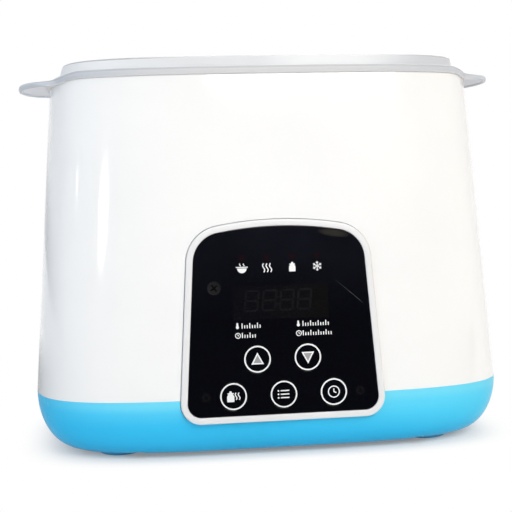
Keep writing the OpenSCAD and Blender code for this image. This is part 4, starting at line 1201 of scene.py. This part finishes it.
class WARMER_OT_basket(bpy.types.Operator):
    """Frosted lift-out basket with flange, collar, ears, slots, drains and divider"""
    bl_idname = "warmer.basket"
    bl_label = "Bottle basket"

    def execute(self, context):
        s, look = sizes(context), looks(context)
        basket = make_object("basket_shell", [loft(self.shell_rings(s))])
        for side in (-1, 1):
            combine(basket, make_object("ear", [self.ear(s, side)]), "UNION")
        combine(basket, make_object("divider", [self.divider(s)]), "UNION")
        r, half = s.slot_w / 2, s.slot_h / 2
        loop = np.vstack([arc((0, half - r), r, 0, 180, 12), arc((0, r - half), r, 180, 360, 12)])
        points, faces = slab([loop], -90, 90)
        bar = [(np.stack([points[:, 0], -points[:, 2], points[:, 1]], -1), faces)]
        slot_z = s.basket_floor + 14 + half
        bay_x = (s.rim_w / 2 - s.basket_in - s.basket_wall - (s.rim_z - s.basket_floor) * DRAFT) / 2
        hole = [turned([(s.drain_d / 2, s.basket_under - 2), (s.drain_d / 2, s.basket_floor + 2)], steps=36)]
        for side in (-1, 1):
            first, step = (side * 0.75 * s.slot_pitch, 0, slot_z), (side * s.slot_pitch, 0, 0)
            combine(basket, repeat("slot_cutter", bar, 4, first, step))
            combine(basket, repeat("drain_cutter", hole, 6, (side * bay_x, 0, 0), radius=s.drain_ring))
            combine(basket, repeat("middle_cutter", hole, 1, (side * bay_x, 0, 0), (1, 0, 0)))
        settle(basket, "basket", "frosted_basket", look.basket, "bottle_basket")
        return {"FINISHED"}

    def shell_rings(self, s):
        """Rings of the basket, up its outside, over flange and collar, and down its inside."""
        wall, rim, inner_in = s.basket_wall, s.rim_z, s.basket_in + s.basket_wall
        outer = liner_edge(s, 6 + wall, s.basket_under, s.basket_in)
        inner = liner_edge(s, 6, s.basket_floor, inner_in)
        top, over, high = s.collar_z, -s.flange_over, s.collar_z + s.collar_h
        c_in, c_out, low = s.collar_in, s.collar_in + s.collar_t, rim - s.skirt
        rings = floor_rings(outer[0]) + outer
        rings += [liner_ring(s, z, s.basket_in) for z in np.linspace(s.basket_floor + 12, rim - 1.2, 12)]
        rings += [liner_ring(s, z, inset) for z, inset in (
            (rim - 0.35, s.basket_in - 0.25), (rim, s.basket_in - 1.1), (rim, over + 0.8))]
        rings += [self.dipped(s, liner_ring(s, z, inset), s.ear_drop - s.skirt) for z, inset in (
            (low, over + 0.85), (low + 0.06, over + 0.5), (low + 0.3, over + 0.18), (low + 0.75, over))]
        rings += [self.dipped(s, liner_ring(s, z, inset), share * s.flange_dip) for z, inset, share in (
            (top - 1.1, over, 1), (top - 0.62, over + 0.14, 1), (top - 0.24, over + 0.46, 1),
            (top, over + 1.1, 0.95), (top, over + 3, 0.5))]
        rings += [self.collar_ring(s, z, inset) for z, inset in (
            (top, c_in - 0.7), (top + 0.16, c_in - 0.2), (top + 0.6, c_in), (high - 0.75, c_in),
            (high - 0.3, c_in + 0.14), (high - 0.05, c_in + 0.5), (high, c_in + 0.9), (high, c_out - 0.9),
            (high - 0.05, c_out - 0.5), (high - 0.3, c_out - 0.14), (high - 0.75, c_out), (top + 0.5, c_out),
            (top + 0.1, c_out + 0.2), (top, c_out + 0.7))]
        rings += [liner_ring(s, z, inset) for z, inset in (
            (top, inner_in - 1), (top - 0.2, inner_in - 0.3), (top - 0.9, inner_in))]
        rings += [liner_ring(s, z, inner_in) for z in np.linspace(top - 8, s.basket_floor + 10, 12)]
        return rings + inner[::-1] + floor_rings(inner[0])[::-1]

    def collar_ring(self, s, z, inset):
        """Outline of the collar, whose ends lean in a little."""
        return ring(s.rim_w / 2 - inset + 0.5 - 0.3 * (z - s.collar_z), s.rim_d / 2 - inset, 3.6, z)

    def dip(self, s, x):
        """How far along, from 0 to 1, the flange has sunk towards the ear at its end."""
        return smooth_step(np.abs(x), s.dip_start, s.rim_w / 2)

    def dipped(self, s, points, depth):
        """A ring of the flange, lowered at its two ends."""
        points[:, 2] -= depth * self.dip(s, points[:, 0])
        return points

    def ear(self, s, side):
        """Low oval tab, hollow below within a lip, flowing up into the flange at its root."""
        half, rim = s.ear_span / 2, s.rim_z
        edge_w, edge_d = s.rim_w / 2 + s.flange_over, s.rim_d / 2 + s.flange_over
        high, soft = rim + 0.1, 2.6

        def root_at(y):
            return edge_w * (1 - (abs(y) / edge_d) ** RIM_SQUARE) ** (1 / RIM_SQUARE)

        def reach_at(y):
            oval = edge_w + s.ear_reach * math.sqrt(max(0.0, 1 - (y / half) ** 2))
            oval -= 3 * max(0.0, abs(y) - half)
            return soft * math.log1p(math.exp((oval - root_at(y)) / soft)) - 0.12

        rings = []
        for y in (half + 10) * np.sin(np.linspace(-1, 1, 91) * math.pi / 2):
            root, reach = root_at(y), reach_at(y)
            top = s.collar_z - s.flange_dip * self.dip(s, root)
            low = rim - s.skirt - (s.ear_drop - s.skirt) * self.dip(s, root) - 0.06
            edge = 0.7 * min(1.0, max(0.03, reach / 2))
            x = np.concatenate([[-2.5, -0.9], np.linspace(-0.55, reach - edge, 40)])
            if reach - edge < -0.4:
                x[2:] = np.linspace(-0.6, reach - edge / 2, 40)
            upper = high + (top - 0.45 - high) * np.clip(1 - (x + 0.3) / 9, 0, 1) ** 2
            upper[:2] = top - 0.4
            within = min(reach, reach_at(y - 1.5), reach_at(y + 1.5)) - 1.3 - x
            hollow = smooth_step(within, 0, 0.5) * smooth_step(x, -0.5, 0.5)
            upper -= 0.4 * smooth_step(within, 0, 1.2) * smooth_step(x, 3, 7)
            lower = low + (rim + 0.3 - low) * (1 - smooth_step(x, -0.62, -0.4)) + 0.9 * hollow
            middle, tall = (upper[-1] + lower[-1]) / 2, (upper[-1] - lower[-1]) / 2
            turns = np.radians(np.linspace(75, -75, 7))
            nose = np.stack([x[-1] + (reach - x[-1]) * np.cos(turns), middle + tall * np.sin(turns)], -1)
            outline = np.vstack([np.stack([x, upper], -1), nose, np.stack([x, lower], -1)[::-1]])
            across = side * (root + outline[:, 0])
            rings.append(np.stack([across, np.full(len(outline), y), outline[:, 1]], -1))
        return loft(rings)

    def divider(self, s):
        """Plate between the two bays, with a dip in its top edge."""
        low, top = s.basket_floor - 1, s.basket_floor + s.divider_h
        into = s.basket_in + s.basket_wall / 2
        reach_low, reach = (s.rim_d / 2 - into - (s.rim_z - z) * DRAFT for z in (low, top))
        dip, half = 26.0, reach / math.sqrt(2)
        dip_r = (half * half + dip * dip) / (2 * dip)
        spread = math.degrees(math.asin(half / dip_r))
        curve = arc((0, top - dip + dip_r), dip_r, 270 + spread, 270 - spread, 32)
        loop = np.vstack([
            [(6 - reach_low, low), (reach_low - 6, low), (reach_low, low + 6), (reach, top)], curve,
            [(-reach, top), (-reach_low, low + 6)]])
        points, faces = slab([loop], -s.basket_wall / 2, s.basket_wall / 2, 0.3)
        return np.stack([points[:, 2], points[:, 0], points[:, 1]], -1), faces


class WARMER_OT_inside(bpy.types.Operator):
    """Finishes of the pieces inside, whose solids are shown as they are"""
    bl_idname = "warmer.inside"
    bl_label = "Inner pieces"

    def execute(self, context):
        look = looks(context)
        wear = {
            "steel": ("housing_screws", "control_board_screws", "heater_screws", "power_board_screws",
                      "heater_clamp", "key_switches", "heating_element"),
            "heater_steel": ("heater_plate",),
            "board": ("control_board", "power_board"),
            "component": ("led_display", "buzzer", "filter_capacitor"),
            "lamp": tuple(f"indicator_lamp_{i}" for i in range(1, 5)),
            "silicone": ("heater_seal", "heater_leads"),
            "ceramic": ("thermal_cutout", "temperature_sensor"),
            "winding": ("transformer",),
            "relay": ("relay",),
            "cable": ("ribbon_cable",),
        }
        for key, nodes in wear.items():
            for node in nodes:
                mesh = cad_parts[node].data
                mesh.materials.clear()
                mesh.materials.append(getattr(look, key))
        return {"FINISHED"}


class WARMER_OT_stage(bpy.types.Operator):
    """White floor, soft studio light and the camera"""
    bl_idname = "warmer.stage"
    bl_label = "Stage"

    def execute(self, context):
        self.add_camera(context.scene)
        self.add_floor()
        self.add_world(context.scene)
        self.add_lamps(context.scene)
        context.scene.view_settings.view_transform = "Standard"
        return {"FINISHED"}

    def add_camera(self, scene):
        """Camera at the photograph's place, for a square picture of 512 pixels."""
        picture, focal, sensor = 512, 1181, 36
        camera = bpy.data.objects.new("camera", bpy.data.cameras.new("camera"))
        camera.data.sensor_width = sensor
        camera.data.lens = sensor * focal / picture
        camera.data.clip_start = 0.01
        yaw, pitch, roll = (math.radians(v) for v in (-7.41, 3.73, -1.53))
        back = Vector((math.sin(yaw) * math.cos(pitch), -math.cos(yaw) * math.cos(pitch), math.sin(pitch)))
        right = Vector((math.cos(yaw), math.sin(yaw), 0))
        up = back.cross(right)
        turned_right = right * math.cos(roll) + up * math.sin(roll)
        turned_up = up * math.cos(roll) - right * math.sin(roll)
        place = Matrix((turned_right, turned_up, back)).transposed().to_4x4()
        place.translation = (-0.0848, -0.6417, 0.1358)
        camera.matrix_world = place
        scene.collection.objects.link(camera)
        scene.camera = camera

    def backed(self, lit, kind, share, bright):
        """A backdrop: lit for what it throws back, white where it shows, dark where gloss shows the room."""
        white, dark = (lit.node(kind, inputs={"Color": (v, v, v, 1), "Strength": 1.0}) for v in (1.0, 0.03))
        camera = lit.node("ShaderNodeLightPath", output="Is Camera Ray")
        gloss, clear = camera.other("Is Glossy Ray"), camera.other("Is Transmission Ray")
        seen = camera.most(gloss).most(clear)
        plain = lit.node("ShaderNodeMixShader", inputs={0: share * seen, 1: lit, 2: white})
        return lit.node("ShaderNodeMixShader", inputs={0: gloss * (1.0 - bright), 1: plain, 2: dark})

    def add_floor(self):
        """Pale floor that keeps the object's shadow and fades to white away from it."""
        floor = make_object("floor", [slab([circle(4000, steps=96)], -4, -0.05)])
        look = Finish("floor paint", Roughness=0.9, Specular_IOR_Level=0.0)
        x, y, _ = look.place.axes()
        look.feed(Base_Color=look.place.noise(60.0).blend((0.88, 0.83, 0.79), (0.91, 0.86, 0.82)))
        away = ((x / 121.0) ** 4.0 + (y / 80.5) ** 4.0) ** 0.25
        bright = y.ease(-220.0, -90.0) * (0.3 + 0.7 * x.ease(-260.0, 60.0).most(y.ease(150.0, 600.0)))
        mixed = self.backed(look.surface, "ShaderNodeEmission", 0.22 + 0.78 * away.ease(0.78, 1.1), bright)
        look.tree.links.new(mixed.out, look.tree.nodes["Material Output"].inputs["Surface"])
        floor.data.materials.append(look.material)

    def add_world(self, scene):
        """Even light around, white behind the object and a dark room in front of it."""
        world = bpy.data.worlds.new("studio")
        world.use_nodes = True
        scene.world = world
        tree = world.node_tree
        around = tree.nodes["Background"]
        around.inputs["Color"].default_value = (0.89, 0.945, 1.0, 1)
        around.inputs["Strength"].default_value = 0.28
        lit = Sock(tree, around.outputs[0])
        ray = lit.node("ShaderNodeTexCoord", output="Generated")
        across = ray.node("ShaderNodeSeparateXYZ", inputs={0: ray})
        towards, up = across.other(1), across.other(2)
        bright = towards.ease(-0.8, 0.0) * (0.3 + 0.7 * across.ease(-0.7, 0.1).most(up.ease(-0.03, 0.07)))
        mixed = self.backed(lit, "ShaderNodeBackground", 1.0, bright)
        tree.links.new(mixed.out, tree.nodes["World Output"].inputs["Surface"])

    def add_lamps(self, scene):
        """Large soft lights around, a weaker fill, and two small windows that streak the glossy corner."""
        white, target = (1.0, 1.0, 1.0), Vector((0, 0, 0.12))
        lamps = {
            "key_light": ((0.45, -1.35, 0.95), (1.0, 1.0), 17.2, (1.0, 0.965, 0.9)),
            "fill_light": ((-1.2, -0.8, 0.5), (0.7, 0.7), 4.2, (0.54, 0.75, 1.0)),
            "top_light": ((0.0, 0.1, 1.4), (1.2, 1.2), 8.2, white),
            "back_light": ((0.35, 1.3, 0.8), (0.9, 0.9), 9.0, white),
            "window_light": ((-0.887, -0.946, 0.266), (0.18, 0.155), 0.42, white),
            "slit_light": ((-1.25, -0.33, 0.305), (0.05, 0.02), 0.05, white),
        }
        for name, (place, size, power, tone) in lamps.items():
            data = bpy.data.lights.new(name, "AREA")
            data.shape = "ELLIPSE" if power < 1 else "RECTANGLE"
            data.size, data.size_y = size
            data.energy, data.color = power, tone
            lamp = bpy.data.objects.new(name, data)
            lamp.location = place
            lamp.visible_glossy = name != "fill_light"
            lamp.rotation_euler = (target - Vector(place)).to_track_quat("-Z", "Y").to_euler()
            scene.collection.objects.link(lamp)


OPERATORS = (WARMER_OT_stage, WARMER_OT_housing, WARMER_OT_base, WARMER_OT_feet, WARMER_OT_gland,
             WARMER_OT_bezel, WARMER_OT_window, WARMER_OT_keys, WARMER_OT_tank, WARMER_OT_basket,
             WARMER_OT_inside)


class WARMER_PT_pieces(bpy.types.Panel):
    """Lists the pieces in the sidebar"""
    bl_label = "Bottle warmer"
    bl_space_type = "VIEW_3D"
    bl_region_type = "UI"
    bl_category = "Warmer"

    def draw(self, context):
        for operator in OPERATORS:
            self.layout.operator(operator.bl_idname)


GROUPS = {"warmer_body": WarmerBodySizes, "warmer_panel": WarmerPanelSizes,
          "warmer_basket": WarmerBasketSizes, "warmer_colours": WarmerColours}


def register():
    for group in (*GROUPS.values(), *OPERATORS, WARMER_PT_pieces):
        bpy.utils.register_class(group)
    for key, group in GROUPS.items():
        setattr(bpy.types.Scene, key, PointerProperty(type=group))


def unregister():
    for key in GROUPS:
        delattr(bpy.types.Scene, key)
    for group in (WARMER_PT_pieces, *reversed(OPERATORS), *reversed(GROUPS.values())):
        bpy.utils.unregister_class(group)


def main():
    """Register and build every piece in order."""
    register()
    for operator in OPERATORS:
        family, name = operator.bl_idname.split(".")
        getattr(getattr(bpy.ops, family), name)()


if __name__ == "__main__":
    main()
